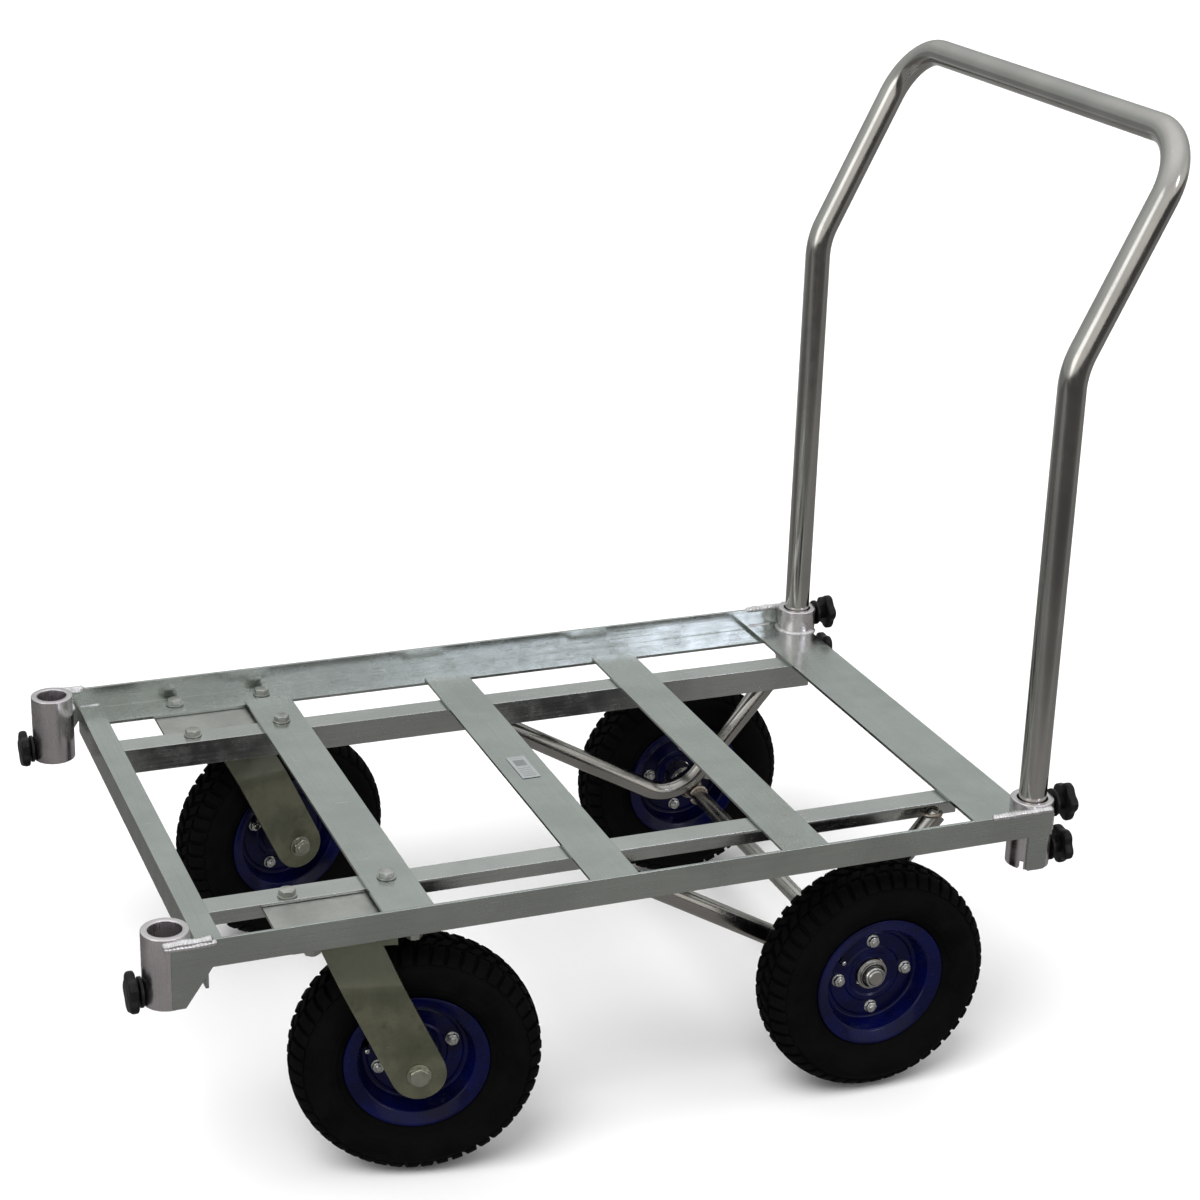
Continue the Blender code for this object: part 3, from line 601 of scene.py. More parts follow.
def build_bars():
    """Rails, crossbars and caster plates: the CAD shapes with their edges broken."""
    for side in SIDES:
        carried("side_rail_" + side, "rail_" + side, 0.7, ALLOY["X"])
        # the under rails take the paler copy of the alloy, painted light
        carried("under_rail_" + side, "inner_rail_" + side, 0.7, UNDER_RAIL_LIT_ALLOY)
        carried("swivel_plate_" + side, "caster_plate_" + side, 0.6, PLATE)
    for name in ("crossbar_front", "crossbar_2", "crossbar_3", "crossbar_4", "crossbar_rear"):
        carried("deck_" + name, name, 0.6, ALLOY["Y"])


def socket_shape():
    """Turned socket with a rolled rim, about its own axis."""
    profile = band(SOCKET_BORE_R, SOCKET_R, *SOCKET_Z)
    return lathe(rounded(profile, [0.6, 0.8, 1.2, 1.2], 5), 72)


STUD_HOLE_R = 4.3
STUD_HOLE = (11.0, 25.0)
NOTCH_HALF_WIDTH = 2.5
NOTCH_REACH = (10.0, 24.0)


def notch_cutter(middle, sign):
    """Block that cuts the notch at a rear socket's foot."""
    out = Vector((math.cos(NOTCH_ANGLE), sign * math.sin(NOTCH_ANGLE), 0.0))
    across = Vector((-out.y, out.x, 0.0)) * NOTCH_HALF_WIDTH
    near, far = middle + out * NOTCH_REACH[0], middle + out * NOTCH_REACH[1]
    corners = [near - across, far - across, far + across, near + across]
    levels = [Vector((0, 0, SOCKET_Z[0] + rise)) for rise in (-5.0, 9.0)]
    return skinned([[c + level for c in corners] for level in levels], False)


def build_sockets():
    """Four clamp sockets; the rear pair has a notch at the foot."""
    start, end = STUD_HOLE
    for side, sign in SIDES.items():
        for row, x, direction in (("front", FRONT_SOCKET_X, -1.0), ("rear", REAR_SOCKET_X, 1.0)):
            middle = Vector((x, sign * SOCKET_Y, 0.0))
            cutters = []
            for _, z in CLAMPS[row]:
                hole = lathe([(STUD_HOLE_R, 0.0), (STUD_HOLE_R, end - start)], 24, False)
                foot = (x + direction * start, sign * SOCKET_Y, z)
                cutters.append(moved(hole, aimed(foot, (direction, 0, 0))))
            if row == "rear":
                cutters.append(notch_cutter(middle, sign))
            shape = moved(socket_shape(), Matrix.Translation(middle))
            mesh = subtract(make_mesh("socket", shape), cutters)
            name = "socket_" + row + "_" + side
            piece("clamp_" + name, mesh, SOCKET, "frame", [name])


# Beads on the right side of the frame: corners and radius
WELDS = [
    # lip to front socket, heaped towards the bar
    ([(-446.0, 268.6, 270.8), (-436.0, 269.5, 271.4), (-404.0, 269.5, 271.4)], 3.7),
    ([(-445.0, 271.0, 268.9), (-422.0, 271.3, 268.3), (-401.0, 271.1, 269.4)], 2.8),
    ([(-427.0, 266.6, 270.4), (-407.0, 266.8, 270.2)], 2.4),
    ([(-418.4, 249.0, 258.0), (-420.0, 259.0, 266.0), (-424.0, 265.5, 271.5)], 2.3),
    # front bar to lip
    ([(-410.5, 267.8, 252.8), (-389.5, 267.8, 252.8)], 1.8),
    # lip to rear socket, then up to the socket's rim and down the lip's end
    ([(309.0, 269.5, 271.6), (334.0, 269.5, 271.8), (366.0, 269.5, 271.8), (372.0, 268.6, 271.0)],
     3.4),
    ([(352.6, 268.9, 271.0), (352.8, 268.6, 276.4)], 2.3),
    ([(371.7, 269.6, 269.0), (371.7, 269.6, 250.0)], 1.6),
    # rear bar along the lip and round the socket
    ([(313.0, 267.8, 252.8), (339.0, 267.8, 252.8)], 1.9),
    (arc((REAR_SOCKET_X, SOCKET_Y, 253.2), SOCKET_R + 0.6, -40.0, -235.0), 2.2),
]
# ends of the crossbars
WELDS += [([(x - 20.5, 235.6, 250.9), (x + 20.5, 235.6, 250.9)], 2.0) for x in CROSSBAR_X]


def build_welds():
    """Rippled beads at the frame's joints, the same on both sides but for their ripple."""
    bright = []
    for sign in SIDES.values():
        for corners, radius in WELDS:
            mirrored = [(x, sign * y, z) for x, y, z in corners]
            bright.append(bead(mirrored, radius, seed=len(bright) + 1.0))
    mesh = make_mesh("frame_welds", merged(*bright), WELD_SHARP)
    piece("frame_welds", mesh, WELD, "frame")


def build_struts():
    """Bent tubes under the deck, with their welds to the rails and to the axle."""
    scorched = []
    for side, sign in SIDES.items():
        y = sign * STRUT_Y
        path = bent([(x, y, z) for x, z in STRUT_PATH], (STRUT_BEND,))
        mesh = make_mesh("strut", tube(path, STRUT_R, STRUT_R - 2.0, 40))
        hole = lathe([(AXLE_HOLE_R, -30.0), (AXLE_HOLE_R, 30.0)], 40, False)
        mesh = subtract(mesh, [moved(hole, aimed((REAR_AXLE_X, y, AXLE_Z), (0, 1, 0)))])
        # the struts take the darker alloy copy, painted shade
        piece("bent_strut_" + side, mesh, SHADED_STRUT_ALLOY, "frame", ["axle_strut_" + side])
        for step in (-8.4, 8.4):
            ring = arc((REAR_AXLE_X, y + step, AXLE_Z), 8.6, -160.0, 170.0, "XZ", 30)
            scorched.append(bead(ring, 2.3, seed=sign * step))
        # the tube meets the rail at a slant, so the bead round it is an ellipse
        for x, tilt in ((-26.0, 1.9), (298.0, 1.25)):
            flat = arc((0.0, y, 238.0), 10.2, 8.0, 352.0, steps=30)
            ring = [(x + p.x * tilt * 0.72, p.y, p.z) for p in flat]
            scorched.append(bead(ring, 2.0, seed=x + sign))
    mesh = make_mesh("strut_welds", merged(*scorched), WELD_SHARP)
    piece("strut_welds", mesh, BRAZE, "frame")


def build_handle():
    """Bent push handle in one smooth tube."""
    x = REAR_SOCKET_X
    top_x = x + math.sin(HANDLE_LEAN) * HANDLE_UPPER
    top_z = HANDLE_KNEE_Z + math.cos(HANDLE_LEAN) * HANDLE_UPPER
    leg = [(x, HANDLE_FOOT_Z), (x, HANDLE_KNEE_Z), (top_x, top_z)]
    corners = [(px, -SOCKET_Y, pz) for px, pz in leg]
    corners += [(px, SOCKET_Y, pz) for px, pz in reversed(leg)]
    path = bent(corners, (75.0, 55.0, 55.0, 75.0), 18)
    mesh = make_mesh("push_handle", tube(path, HANDLE_R, HANDLE_R - 2.0, 56, 0.6))
    piece("push_handle", mesh, TUBE, "handle", ["handle"])


KNOB_R = 18.4
KNOB_LOBE_DEPTH = 3.2
HALF_PITCH = 0.625


def knob_shape(head_start, head_length, tip):
    """Five-lobed hand knob with collar, neck and moulded-in stud, along local Z."""
    def lobes(scale):
        def law(angle):
            wave = 0.5 - 0.5 * math.cos(5.0 * angle)
            return (KNOB_R - KNOB_LOBE_DEPTH * wave ** 1.2) * scale
        return law

    end = head_start + head_length
    sections = [
        (0.72, head_start), (0.90, head_start + 0.3), (0.975, head_start + 1.1),
        (1.0, head_start + 2.4), (1.0, end - 3.0), (0.975, end - 1.6), (0.91, end - 0.6),
        (0.80, end - 0.1), (0.62, end), (0.50, end - 0.3),
    ]
    head = skinned([ring_points(lobes(scale), s, 120) for scale, s in sections], False)
    low = SOCKET_R + 0.3
    collar = rounded(
        [(4.2, low), (13.0, low), (13.0, low + 3.0), (7.6, low + 3.0), (7.2, head_start + 1.0),
         (4.2, head_start + 1.0)], [0, 0.5, 0.9, 0.8, 0, 0], 3)
    cap = rounded(band(0.6, 7.0, end - 0.5, end), [0, 0.0, 0.35, 0], 3)
    turns = []
    for k in range(int((low - tip + 2.0) / HALF_PITCH) + 1):
        turns.append((3.95 if k % 2 else 3.45, tip + k * HALF_PITCH))
    return merged(head, lathe(collar, 64), lathe(cap, 48), lathe(turns, 32, False))


def build_knobs():
    """Six clamp knobs, all turned to slightly different rest angles."""
    # where a row's heads start, how long they are and where the studs end, out from the socket axis
    rows = (("front", FRONT_SOCKET_X, -1.0, (25.0, 8.2, 12.6)),
            ("rear", REAR_SOCKET_X, 1.0, (31.0, 9.0, 13.3)))
    turn = 0.0
    for side, sign in SIDES.items():
        for row, x, direction, lengths in rows:
            for tag, z in CLAMPS[row]:
                turn += 0.41
                place = aimed((x, sign * SOCKET_Y, z), (direction, 0, 0), turn)
                mesh = make_mesh("knob", moved(knob_shape(*lengths), place), 40.0)
                name = "knob_" + tag + "_" + side
                piece("hand_" + name, mesh, KNOB, "clamp_" + tag + "_" + side,
                      [name])


# ---- casters

def washer(radius, bore, low, high):
    """Flat washer about local Z."""
    return lathe(rounded(band(bore, radius, low, high), 0.3, 2), 48)


def build_plate_bolts():
    """Hexagon bolts with washers, nuts and thread ends."""
    turn = 0.2
    for side, sign in SIDES.items():
        for row, x in BOLT_X.items():
            for lane, y in BOLT_Y.items():
                turn += 0.7
                on_bar = row == "rear" and lane == "inner"
                seat = (BAR_TOP if on_bar else FLANGE_TOP) + 0.2
                nut = PLATE_BASE - 0.2
                shape = merged(
                    washer(8.6, 4.2, seat, seat + 1.4),
                    hexagon(13.0, seat + 1.4, seat + 6.0),
                    washer(8.2, 4.2, nut - 1.4, nut),
                    moved(hexagon(13.0, 0.0, 5.8), Matrix.Translation((0, 0, nut - 7.2))),
                    lathe([(3.6, nut - 9.2), (4.0, nut - 8.8), (4.0, seat + 2.0)], 32, False),
                )
                name = "bolt_" + row + "_" + lane + "_" + side
                place = Matrix.Translation((x, sign * y, 0.0)) @ Matrix.Rotation(turn, 4, "Z")
                mesh = make_mesh(name, moved(shape, place))
                piece("plate_" + name, mesh, BOLT, "frame", [name])


def build_races():
    """Pressed bearing cup with a visible ball groove."""
    profile = rounded(
        [(7.0, 237.3), (31.0, 237.3), (33.5, 238.6), (34.6, 239.4), (33.9, 240.0), (36.0, 240.8),
         (36.0, 242.9), (7.0, 242.9)], [0, 0.5, 0.8, 0.5, 0.4, 0.8, 0.3, 0], 3)
    for side, sign in SIDES.items():
        place = Matrix.Translation((CASTER_X, sign * CASTER_Y, 0.0))
        mesh = make_mesh("race", moved(lathe(profile, 72), place))
        piece("bearing_cup_" + side, mesh, ZINC, "frame", ["caster_race_" + side])


def caster_axle_shape():
    """Axle bolt: head and washer outboard, washer, nut and thread end inboard."""
    face = 42.2
    head = merged(washer(10.4, 6.2, 0.0, 1.4), hexagon(16.0, 1.4, 6.4, 1.4))
    nut = merged(washer(10.4, 6.2, 0.0, 1.4), hexagon(16.0, 1.4, 7.0, 1.0))
    flip = Matrix.Rotation(math.pi, 4, "X")
    return merged(
        moved(head, Matrix.Translation((0, 0, face))),
        moved(nut, Matrix.Translation((0, 0, -face)) @ flip),
        lathe([(5.4, -face - 9.0), (5.9, -face - 8.4), (5.9, face + 2.0)], 40, False),
    )


def caster_frame(sign):
    """World matrix of a caster wheel: local Z outboard along the axle, in metres."""
    yaw = sign * CASTER_YAW
    centre = Vector((CASTER_X + CASTER_TRAIL * math.cos(yaw),
                     sign * CASTER_Y + CASTER_TRAIL * math.sin(yaw), AXLE_Z))
    axis = Vector((-math.sin(yaw), math.cos(yaw), 0.0)) * sign
    return wheel_matrix(centre, axis)


def wheel_matrix(centre, axis):
    """World matrix with local Z along the axle and local X straight down."""
    z = Vector(axis).normalized()
    x = Vector((0.0, 0.0, -1.0))
    y = z.cross(x)
    turn = Matrix((x, y, z)).transposed().to_4x4()
    return Matrix.Translation(Vector(centre) * MM) @ turn


def build_casters():
    """Forks, kingpins and axle bolts that swivel."""
    axle = make_mesh("caster_axle_bolt", caster_axle_shape())
    for side, sign in SIDES.items():
        body = "swivel_" + side
        fork = softened("fork_" + side, 1.1, 3, crease=(13.0, 25.0, 9.0))
        piece("swivel_fork_" + side, fork, ZINC, body, ["fork_" + side])
        pin = merged(hexagon(19.0, 0.0, 5.8, 1.0), lathe([(5.9, 4.0), (5.9, 13.5)], 40, False))
        place = aimed((CASTER_X, sign * CASTER_Y, KING_BOLT_Z), (0, 0, 1), 0.3)
        piece("king_bolt_" + side, make_mesh("king_bolt", moved(pin, place)), HARDWARE, body,
              ["kingpin_" + side])
        piece("wheel_bolt_" + side, axle, DULL, body, ["caster_axle_" + side],
              caster_frame(sign))


# ---- wheels

# Outer half section of a tyre: station and radius from the crown to the bead
TYRE_OUTER = [
    (0.0, 110.0), (5.0, 109.9), (10.0, 109.4), (15.0, 108.3), (19.5, 106.4), (23.5, 103.7),
    (27.0, 100.0), (29.6, 95.6), (31.2, 90.6), (31.8, 85.4), (31.3, 80.2), (29.8, 75.4),
    (27.3, 71.0), (24.4, 67.4), (22.2, 64.9), (20.6, 63.6),
]
LUGS = 48
TREAD_DEPTH = 3.4
TREAD_FADE = (23.0, 40.0)
# Rows of blocks on each half: start and end from the crown, half angles there, skew and place
# in the pitch
TREAD_ROWS = [(1.5, 11.0, 0.036, 0.040, 0.050, 0.0), (13.4, 32.0, 0.044, 0.049, 0.016, 0.5)]
# Ribs on the side wall: radius, height and width
RIBS = [(70.0, 0.7, 0.9), (76.5, 0.35, 0.5)]


def tyre_curve():
    """Dense samples of the outer half section: arc length, place and outward normal."""
    raw = [Vector(p) for p in TYRE_OUTER]
    dense = []
    for i in range(len(raw) - 1):
        p0 = raw[i - 1] if i else Vector((-raw[1].x, raw[1].y))
        p1, p2 = raw[i], raw[i + 1]
        p3 = raw[min(i + 2, len(raw) - 1)]
        for k in range(8):
            t = k / 8.0
            dense.append(0.5 * (2.0 * p1 + (p2 - p0) * t
                                + (2.0 * p0 - 5.0 * p1 + 4.0 * p2 - p3) * t * t
                                + (3.0 * p1 - p0 - 3.0 * p2 + p3) * t * t * t))
    dense.append(raw[-1])
    out = []
    length = 0.0
    for i, p in enumerate(dense):
        a = dense[max(i - 1, 0)]
        length += (p - a).length
        tangent = (dense[min(i + 1, len(dense) - 1)] - a).normalized()
        out.append((length, p, Vector((-tangent.y, tangent.x))))
    return out


CURVE = tyre_curve()


def on_tyre(u, height):
    """Station and radius at an arc length from the crown, raised by a height."""
    for (u0, p0, n0), (u1, p1, n1) in zip(CURVE, CURVE[1:]):
        if u <= u1:
            t = (u - u0) / (u1 - u0)
            return p0.lerp(p1, t) + n0.lerp(n1, t).normalized() * height
    return CURVE[-1][1] + CURVE[-1][2] * height


def groove(u):
    """Depth of the carcass below the tread surface."""
    start, end = TREAD_FADE
    if u < start:
        return TREAD_DEPTH
    t = min(1.0, (u - start) / (end - start))
    return TREAD_DEPTH * (1.0 - t * t * (3.0 - 2.0 * t))


def tread_point(u, angle, height, flip):
    """Point on the tyre in the wheel's own frame."""
    station, radius = on_tyre(u, height)
    return Vector((radius * math.cos(angle), radius * math.sin(angle), station * flip))


def tread_block(u0, u1, centre, half0, half1, skew, flip):
    """One chamfered tread block on the tyre's surface."""
    across = (-1.0, -0.8, 0.8, 1.0)
    along = (0.0, 0.09, 0.35, 0.65, 0.91, 1.0)
    last_row, last_col = len(along) - 1, len(across) - 1
    cols = len(across)
    points = []
    faces = []
    for i, f in enumerate(along):
        half = half0 + (half1 - half0) * f
        for j, g in enumerate(across):
            sunk = -0.55 if i in (0, last_row) or j in (0, last_col) else 0.0
            angle = centre + skew * (f - 0.5) + half * g
            points.append(tread_point(u0 + (u1 - u0) * f, angle, sunk, flip))
            if i < last_row and j < last_col:
                k = i * cols + j
                faces.append((k, k + 1, k + cols + 1, k + cols))
    rim = [(0, j) for j in range(cols)] + [(i, last_col) for i in range(1, len(along))]
    rim += [(last_row, j) for j in range(last_col - 1, -1, -1)]
    rim += [(i, 0) for i in range(last_row - 1, 0, -1)]
    base = len(points)
    for k, (i, j) in enumerate(rim):
        f = along[i]
        u = u0 + (u1 - u0) * f + (-0.5 if i == 0 else 0.5 if i == last_row else 0.0)
        half = half0 + (half1 - half0) * f + 0.006
        angle = centre + skew * (f - 0.5) + half * across[j]
        points.append(tread_point(u, angle, -groove(u) - 0.7, flip))
        m = (k + 1) % len(rim)
        faces.append((i * cols + j, rim[m][0] * cols + rim[m][1], base + m, base + k))
    faces.append(tuple(range(base, base + len(rim))))
    return points, faces


def tyre_shape():
    """Carcass with beads and side ribs, two zigzag centre rows and two shoulder rows of blocks."""
    half = []
    u = 0.0
    while u < CURVE[-1][0]:
        s, r = on_tyre(u, -groove(u))
        half.append((r, s))
        u += 1.4
    half.append((CURVE[-1][1].y, CURVE[-1][1].x))
    half = [(r, s + sum(high * math.exp(-((r - at) / wide) ** 2) for at, high, wide in RIBS))
            for r, s in half]
    outline = half + [(61.6, 19.4), (58.5, 16.0), (58.5, 12.0)]
    profile = outline + [(r, -s) for r, s in reversed(outline[1:])]
    shapes = [lathe(profile, 144)]
    pitch = 2.0 * math.pi / LUGS
    for k in range(LUGS):
        for flip in (1.0, -1.0):
            centre = k * pitch + (0.5 * pitch if flip > 0 else 0.0)
            for u0, u1, half0, half1, skew, shift in TREAD_ROWS:
                shapes.append(tread_block(u0, u1, centre + shift * pitch, half0, half1, skew, flip))
    return merged(*shapes)


def rim_shape():
    """Two pressed dishes back to back: rolled flange, drop centre, stepped web."""
    half = [
        (15.6, 3.4), (21.0, 3.4), (23.0, 4.6), (27.0, 4.6), (28.5, 3.4), (41.0, 3.4), (42.5, 2.6),
        (46.0, 2.6), (50.6, 18.6), (61.0, 22.4), (63.4, 22.9), (63.4, 20.4), (53.5, 16.6),
    ]
    radii = [0.4, 0.8, 0.8, 0.8, 0.8, 0.8, 0.8, 3.2, 3.4, 1.8, 1.1, 0.8, 1.0]
    profile = half + [(r, -s) for r, s in reversed(half)]
    return lathe(rounded(profile, radii + radii[::-1], 5), 128)


def rim_bolts():
    """Four bolts through the web with washers and nuts."""
    shapes = []
    for k in range(4):
        angle = math.pi / 2.0 * k
        centre = (34.0 * math.cos(angle), 34.0 * math.sin(angle), 0.0)
        for flip in (0.0, math.pi):
            place = Matrix.Translation(centre) @ Matrix.Rotation(flip, 4, "X")
            place = place @ Matrix.Rotation(0.4 + k, 4, "Z")
            end = lathe([(2.6, 8.0), (2.6, 9.6), (2.2, 10.0)], 24, False)
            bolt = merged(washer(6.2, 3.1, 3.3, 4.5), hexagon(9.6, 4.5, 8.4, 0.7), end)
            shapes.append(moved(bolt, place))
    return merged(*shapes)


def valve_shapes():
    """Rubber valve stem and its metal cap on the rim's slope."""
    angle = math.radians(-125.0)
    out = Vector((math.cos(angle), math.sin(angle), 0.0))
    place = aimed(out * 47.0 + Vector((0, 0, 5.0)), Vector((0, 0, 1.0)) - out * 0.25)
    stem = rounded([(0.5, -2.0), (4.6, -2.0), (4.6, 1.0), (3.0, 4.0), (2.7, 9.0), (0.5, 9.0)],
                   [0, 0.6, 1.0, 1.0, 0.4, 0], 3)
    cap = rounded([(0.5, 8.6), (2.3, 8.6), (2.3, 14.0), (1.6, 14.6), (0.5, 14.6)],
                  [0, 0.3, 0.4, 0.3, 0], 3)
    return moved(lathe(stem, 32), place), moved(lathe(cap, 24), place)


def hub_shapes(bore, low, high):
    """Hub barrel with a bearing at each end: bright outer race, dark seal."""
    step = min(20.0, high - 3.0)
    barrel = rounded([(11.6, low), (12.5, low), (12.5, -20.0), (15.0, -20.0), (15.0, step),
                      (12.6, step), (12.6, high), (11.6, high)], 0.5, 3)
    seals = []
    races = []
    for end, sign in ((low, 1.0), (high, -1.0)):
        seals.append(lathe(band(bore + 1.9, 11.7, end + sign * 0.9, end + sign * 2.4), 48))
        races.append(washer(bore + 2.0, bore, end, end + sign * 4.0))
    return merged(lathe(barrel, 64), *races), merged(*seals)


def build_wheel(tag, matrix, turn, meshes, hub):
    """One wheel's pieces about its axle, turned to its rest angle."""
    at = matrix @ Matrix.Rotation(turn, 4, "Z")
    for name, mesh, surface, slot, nodes in (
            ("treaded_tyre_", meshes["tyre"], RUBBER, "tyre", ["tyre_" + tag]),
            ("pressed_rim_", meshes["rim"], PAINT, "rim_paint", ["rim_" + tag]),
            ("rim_bolts_", meshes["bolts"], HARDWARE, "zinc", ()),
            ("valve_stem_", meshes["stem"], RUBBER, "tyre", ()),
            ("valve_cap_", meshes["cap"], HARDWARE, "zinc", ()),
            ("hub_barrel_", hub[0], STEEL, "axle_steel", ["hub_" + tag]),
            ("hub_seals_", hub[1], RUBBER, "tyre", ())):
        piece(name + tag, mesh, surface, "wheel_" + tag, nodes, at)


def build_wheels():
    """Four wheels, the axle and its retaining collars."""
    stem, cap = valve_shapes()
    meshes = {
        "tyre": make_mesh("tyre", tyre_shape(), 30.0),
        "rim": make_mesh("rim", rim_shape(), 30.0),
        "bolts": make_mesh("rim_bolts", rim_bolts()),
        "stem": make_mesh("valve_stem", stem),
        "cap": make_mesh("valve_cap", cap),
    }
    front_hub = [make_mesh("hub", s) for s in hub_shapes(6.3, -37.0, 37.0)]
    rear_hub = [make_mesh("hub", s) for s in hub_shapes(8.3, -38.0, 9.0)]
    turns = {"front_left": 0.35, "front_right": 0.45, "rear_left": 0.03, "rear_right": 0.12}
    for side, sign in SIDES.items():
        tag = "front_" + side
        build_wheel(tag, caster_frame(sign), turns[tag], meshes, front_hub)
        tag = "rear_" + side
        matrix = wheel_matrix((REAR_AXLE_X, sign * REAR_WHEEL_Y, AXLE_Z), (0.0, sign, 0.0))
        build_wheel(tag, matrix, turns[tag], meshes, rear_hub)
        collar = rounded([(8.0, 0.0), (10.2, 0.0), (10.2, 2.6), (9.2, 3.9), (8.0, 4.0)],
                         [0, 0.4, 0.7, 0.6, 0], 3)
        place = aimed((REAR_AXLE_X, sign * (REAR_WHEEL_Y + 9.6), AXLE_Z), (0.0, sign, 0.0))
        mesh = make_mesh("axle_collar", moved(lathe(collar, 48), place))
        piece("axle_collar_" + side, mesh, HARDWARE, "frame", ["axle_nut_" + side])
    ends = [(3.0, -242.4), (6.6, -243.0), (7.7, -242.2), (8.0, -241.4)]
    profile = ends + [(r, -s) for r, s in reversed(ends)]
    place = aimed((REAR_AXLE_X, 0.0, AXLE_Z), (0.0, 1.0, 0.0))
    mesh = make_mesh("cross_axle", moved(lathe(profile, 48, False), place))
    piece("cross_axle", mesh, STEEL, "frame", ["rear_axle"])


def build_label():
    """Blank rating label: pale film with a grey panel and rules."""
    low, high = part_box("label")
    piece("rating_label", softened("label", 0.15), FILM, "frame", ["label"])
    # each patch's place and size from the label's corner
    patches = [(3.5, 27.0, 11.0, 13.0), (2.5, 44.0, 13.0, 0.8)]
    patches += [(3.0, 4.0 + 4.2 * k, 12.0, 1.0) for k in range(5)]
    shapes = []
    for px, py, width, depth in patches:
        x, y = low.x / MM + px, low.y / MM + py
        corners = [(x, y), (x + width, y), (x + width, y + depth), (x, y + depth)]
        levels = [high.z / MM + rise for rise in (-0.05, 0.06)]
        shapes.append(skinned([[Vector((*c, z)) for c in corners] for z in levels], False))
    piece("label_print", make_mesh("label_print", merged(*shapes)), INK, "frame")


build_bars()
build_sockets()
build_welds()
build_struts()
build_handle()
build_knobs()
build_plate_bolts()
build_races()
build_casters()
build_wheels()
build_label()


# ---- stage

# Floor, in metres: half its size, its drop below the wheels, and how far the mirrored tones reach
FLOOR_HALF = 40.0
FLOOR_DROP = 0.0005
FLOOR_SPAN = 3.0

# Key light, with its width in degrees
KEY_STRENGTH = 2.1
KEY_WIDTH = 38.0
KEY_FROM = (-0.42, -0.38, 1.0)

# Camera: place in metres, angles in degrees, lens and sensor in millimetres
CAMERA_AT = (-0.8170, -2.1001, 1.2869)
CAMERA_YAW = 68.0129
CAMERA_PITCH = 21.0647
CAMERA_ROLL = 1.7273
CAMERA_LENS = 78.146
CAMERA_SENSOR = 36.0

WHITE = (1.0, 1.0, 1.0)


def tinted(level, tint=WHITE):
    """A grey level with a tint."""
    return tuple(level * t for t in tint)


# Windows that the metal mirrors: towards, inner and outer angle in degrees, and colour
WINDOWS = [
    ((-0.86, -0.42, 0.30), 8.0, 22.0, tinted(1.3)),
    ((0.407, -0.835, 0.371), 5.0, 7.2, tinted(7.0, (0.82, 0.81, 1.0))),
    ((0.176, -0.904, 0.391), 1.5, 6.0, tinted(0.25, (1.0, 0.74, 0.35))),
]


def ramp(tree, source, stops):
    """Colour ramp with positions and colours."""
    step = node(tree, "ValToRGB", {"Fac": source})
    step.color_ramp.interpolation = "EASE"
    elements = step.color_ramp.elements
    for i, (position, colour) in enumerate(stops):
        stop = elements[i] if i < 2 else elements.new(position)
        stop.position = position
        stop.color = (*colour, 1.0)
    return step.outputs["Color"]


def gloss_floor():
    """What the polished metal mirrors below the horizon: a dim studio floor with one pale strip."""
    made, tree, _ = blank("floor_gloss")
    tree.nodes.clear()
    axes = split_axes(tree)
    warm = (1.03, 1.0, 0.97)
    cool = (0.97, 1.0, 0.98)
    rows = [(-3.0, 0.08), (-1.7, 0.10), (-1.25, 0.16), (-0.92, 0.31), (-0.55, 0.26), (0.6, 0.24),
            (1.2, 0.26), (2.0, 0.44), (3.0, 0.46)]
    stops = [((y / FLOOR_SPAN + 1.0) / 2.0, tinted(level, warm if y < 1.5 else cool))
             for y, level in rows]
    along = ranged(tree, axes["Y"], -FLOOR_SPAN, FLOOR_SPAN, ease="LINEAR")
    across = ranged(tree, axes["X"], -FLOOR_SPAN, FLOOR_SPAN, ease="LINEAR")
    depth = ramp(tree, along, stops)
    left = ramp(tree, across, [(0.395, tinted(0.60)), (0.435, WHITE)])
    far = ranged(tree, axes["Y"], -0.3, 0.2)
    colour = mixed(tree, 1.0, depth, mixed(tree, far, WHITE, left), "MULTIPLY")
    glow = node(tree, "Emission", {"Color": colour})
    node(tree, "OutputMaterial", {"Surface": glow.outputs["Emission"]})
    return made


def window(tree, direction, room, toward, inner, outer, colour):
    """Add a soft round light to the room's colour: a colour that falls off about a direction."""
    dot = node(tree, "VectorMath", {0: direction, 1: Vector(toward).normalized()},
               operation="DOT_PRODUCT")
    edge, core = math.cos(math.radians(outer)), math.cos(math.radians(inner))
    return mixed(tree, ranged(tree, dot.outputs["Value"], edge, core), room, colour, "ADD")


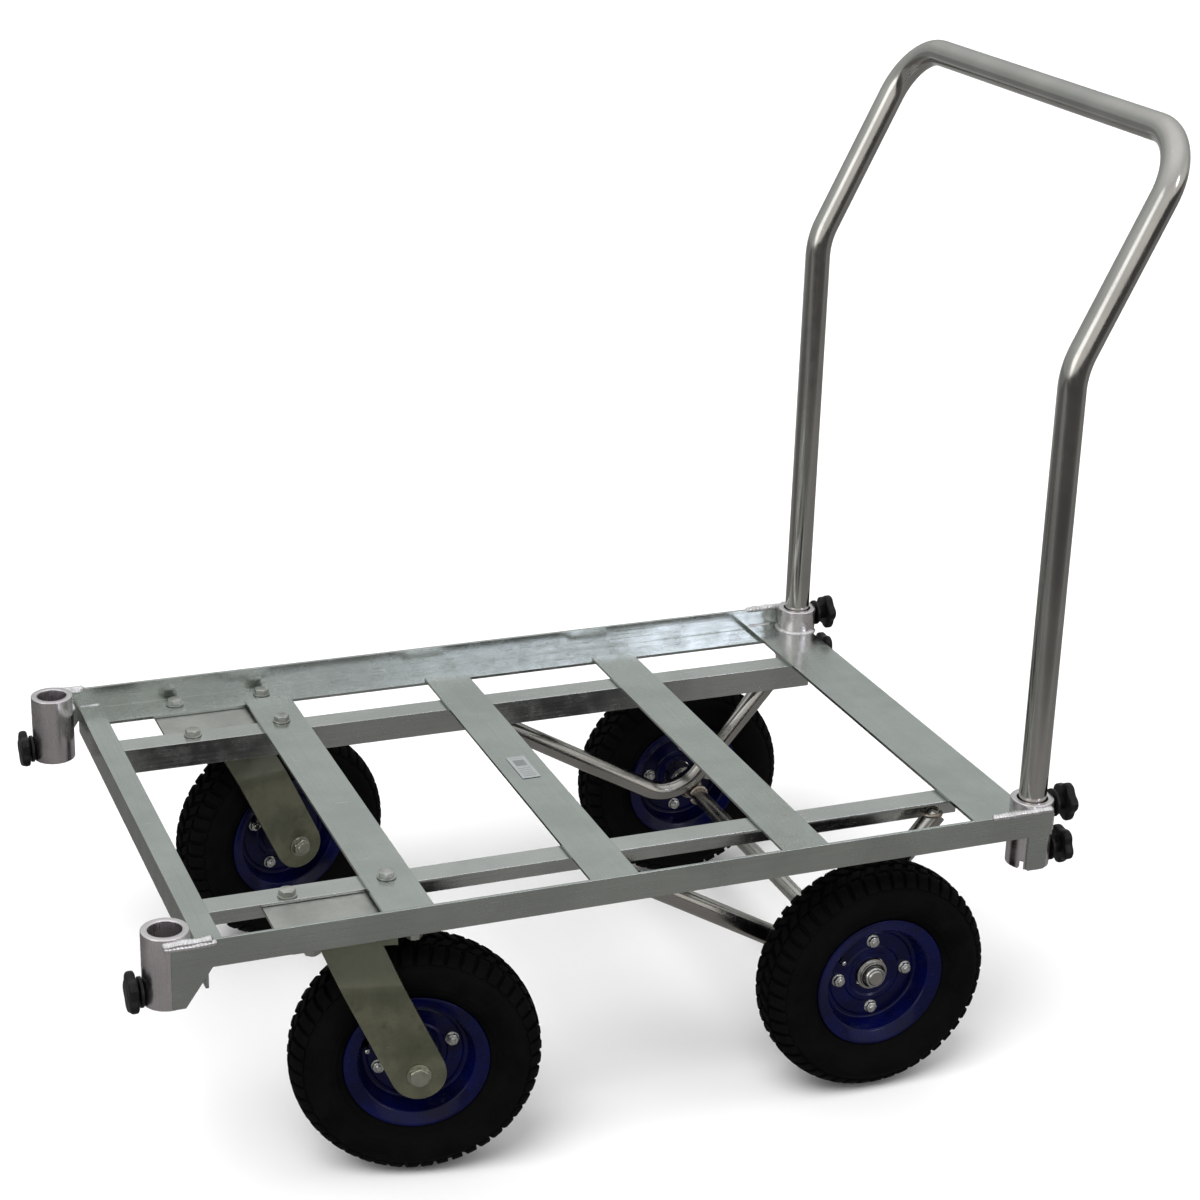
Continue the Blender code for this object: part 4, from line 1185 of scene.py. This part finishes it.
def build_sky():
    """Even pale light for the scene, white to the camera; the metal mirrors a dimmer room."""
    world = bpy.data.worlds.new("sky")
    bpy.context.scene.world = world
    world.use_nodes = True
    tree = world.node_tree
    direction = node(tree, "TexCoord").outputs["Generated"]
    axes = node(tree, "SeparateXYZ", {"Vector": direction}).outputs
    z = axes["Z"]
    even = ramp(tree, z, [(0.0, (0.66, 0.67, 0.66)), (1.0, WHITE)])
    green = (0.96, 1.0, 0.97)
    behind = ramp(tree, z, [
        (0.0, tinted(0.44, green)), (1.0, tinted(1.15)), (0.20, tinted(0.49, green)),
        (0.34, tinted(0.57, green)), (0.46, tinted(0.69, green)), (0.60, tinted(0.80))])
    before = ramp(tree, z, [
        (0.0, tinted(0.86, (1.0, 0.97, 0.91))), (1.0, tinted(1.15)),
        (0.25, tinted(0.90, (1.0, 0.98, 0.93))), (0.50, tinted(0.78, (1.0, 1.0, 0.98)))])
    room = mixed(tree, ranged(tree, axes["Y"], -0.45, 0.35), before, behind)
    for toward, inner, outer, colour in WINDOWS:
        room = window(tree, direction, room, toward, inner, outer, colour)
    path = node(tree, "LightPath").outputs
    seen = mixed(tree, path["Is Glossy Ray"], even, room)
    seen = mixed(tree, path["Is Camera Ray"], seen, WHITE)
    tree.links.new(seen, tree.nodes["Background"].inputs["Color"])


def floor_sheet(name, surface):
    """Large square sheet at floor height."""
    size = FLOOR_HALF
    mesh = bpy.data.meshes.new(name)
    mesh.from_pydata([(-size, -size, 0), (size, -size, 0), (size, size, 0), (-size, size, 0)], [],
                     [(0, 1, 2, 3)])
    mesh.materials.append(surface)
    return linked(name, mesh)


def build_floor():
    """White paper floor, and over it a sheet that only mirrors see."""
    made, tree, shader = blank("floor_paper")
    haze = field(tree, 2.0, 2.0)
    tone = mixed(tree, haze, (0.86, 0.86, 0.86), (0.88, 0.88, 0.88))
    tree.links.new(tone, shader.inputs["Base Color"])
    shader.inputs["Roughness"].default_value = 0.9
    shader.inputs["Specular IOR Level"].default_value = 0.0
    floor = floor_sheet("floor", made)
    floor.location.z = -FLOOR_DROP

    card = floor_sheet("floor_gloss", gloss_floor())
    tuned(card, visible_camera=False, visible_diffuse=False, visible_shadow=False,
          visible_transmission=False)


def build_key():
    """Soft key light that the metal doesn't mirror."""
    sun = bpy.data.lights.new("key", "SUN")
    key = linked("key", tuned(sun, energy=KEY_STRENGTH, angle=math.radians(KEY_WIDTH)))
    key.visible_glossy = False
    key.rotation_euler = Vector(KEY_FROM).to_track_quat("Z", "Y").to_euler()


def build_camera():
    """The photograph's camera."""
    lens = tuned(bpy.data.cameras.new("camera"), lens=CAMERA_LENS, sensor_width=CAMERA_SENSOR)
    camera = linked("camera", lens)
    turns = ((CAMERA_YAW - 90.0, "Z"), (90.0 - CAMERA_PITCH, "X"), (CAMERA_ROLL, "Z"))
    place = Matrix.Translation(CAMERA_AT)
    for angle, axis in turns:
        place = place @ Matrix.Rotation(math.radians(angle), 4, axis)
    camera.matrix_world = place
    bpy.context.scene.camera = camera


build_floor()
build_sky()
build_key()
build_camera()
bpy.context.scene.view_settings.view_transform = "Standard"
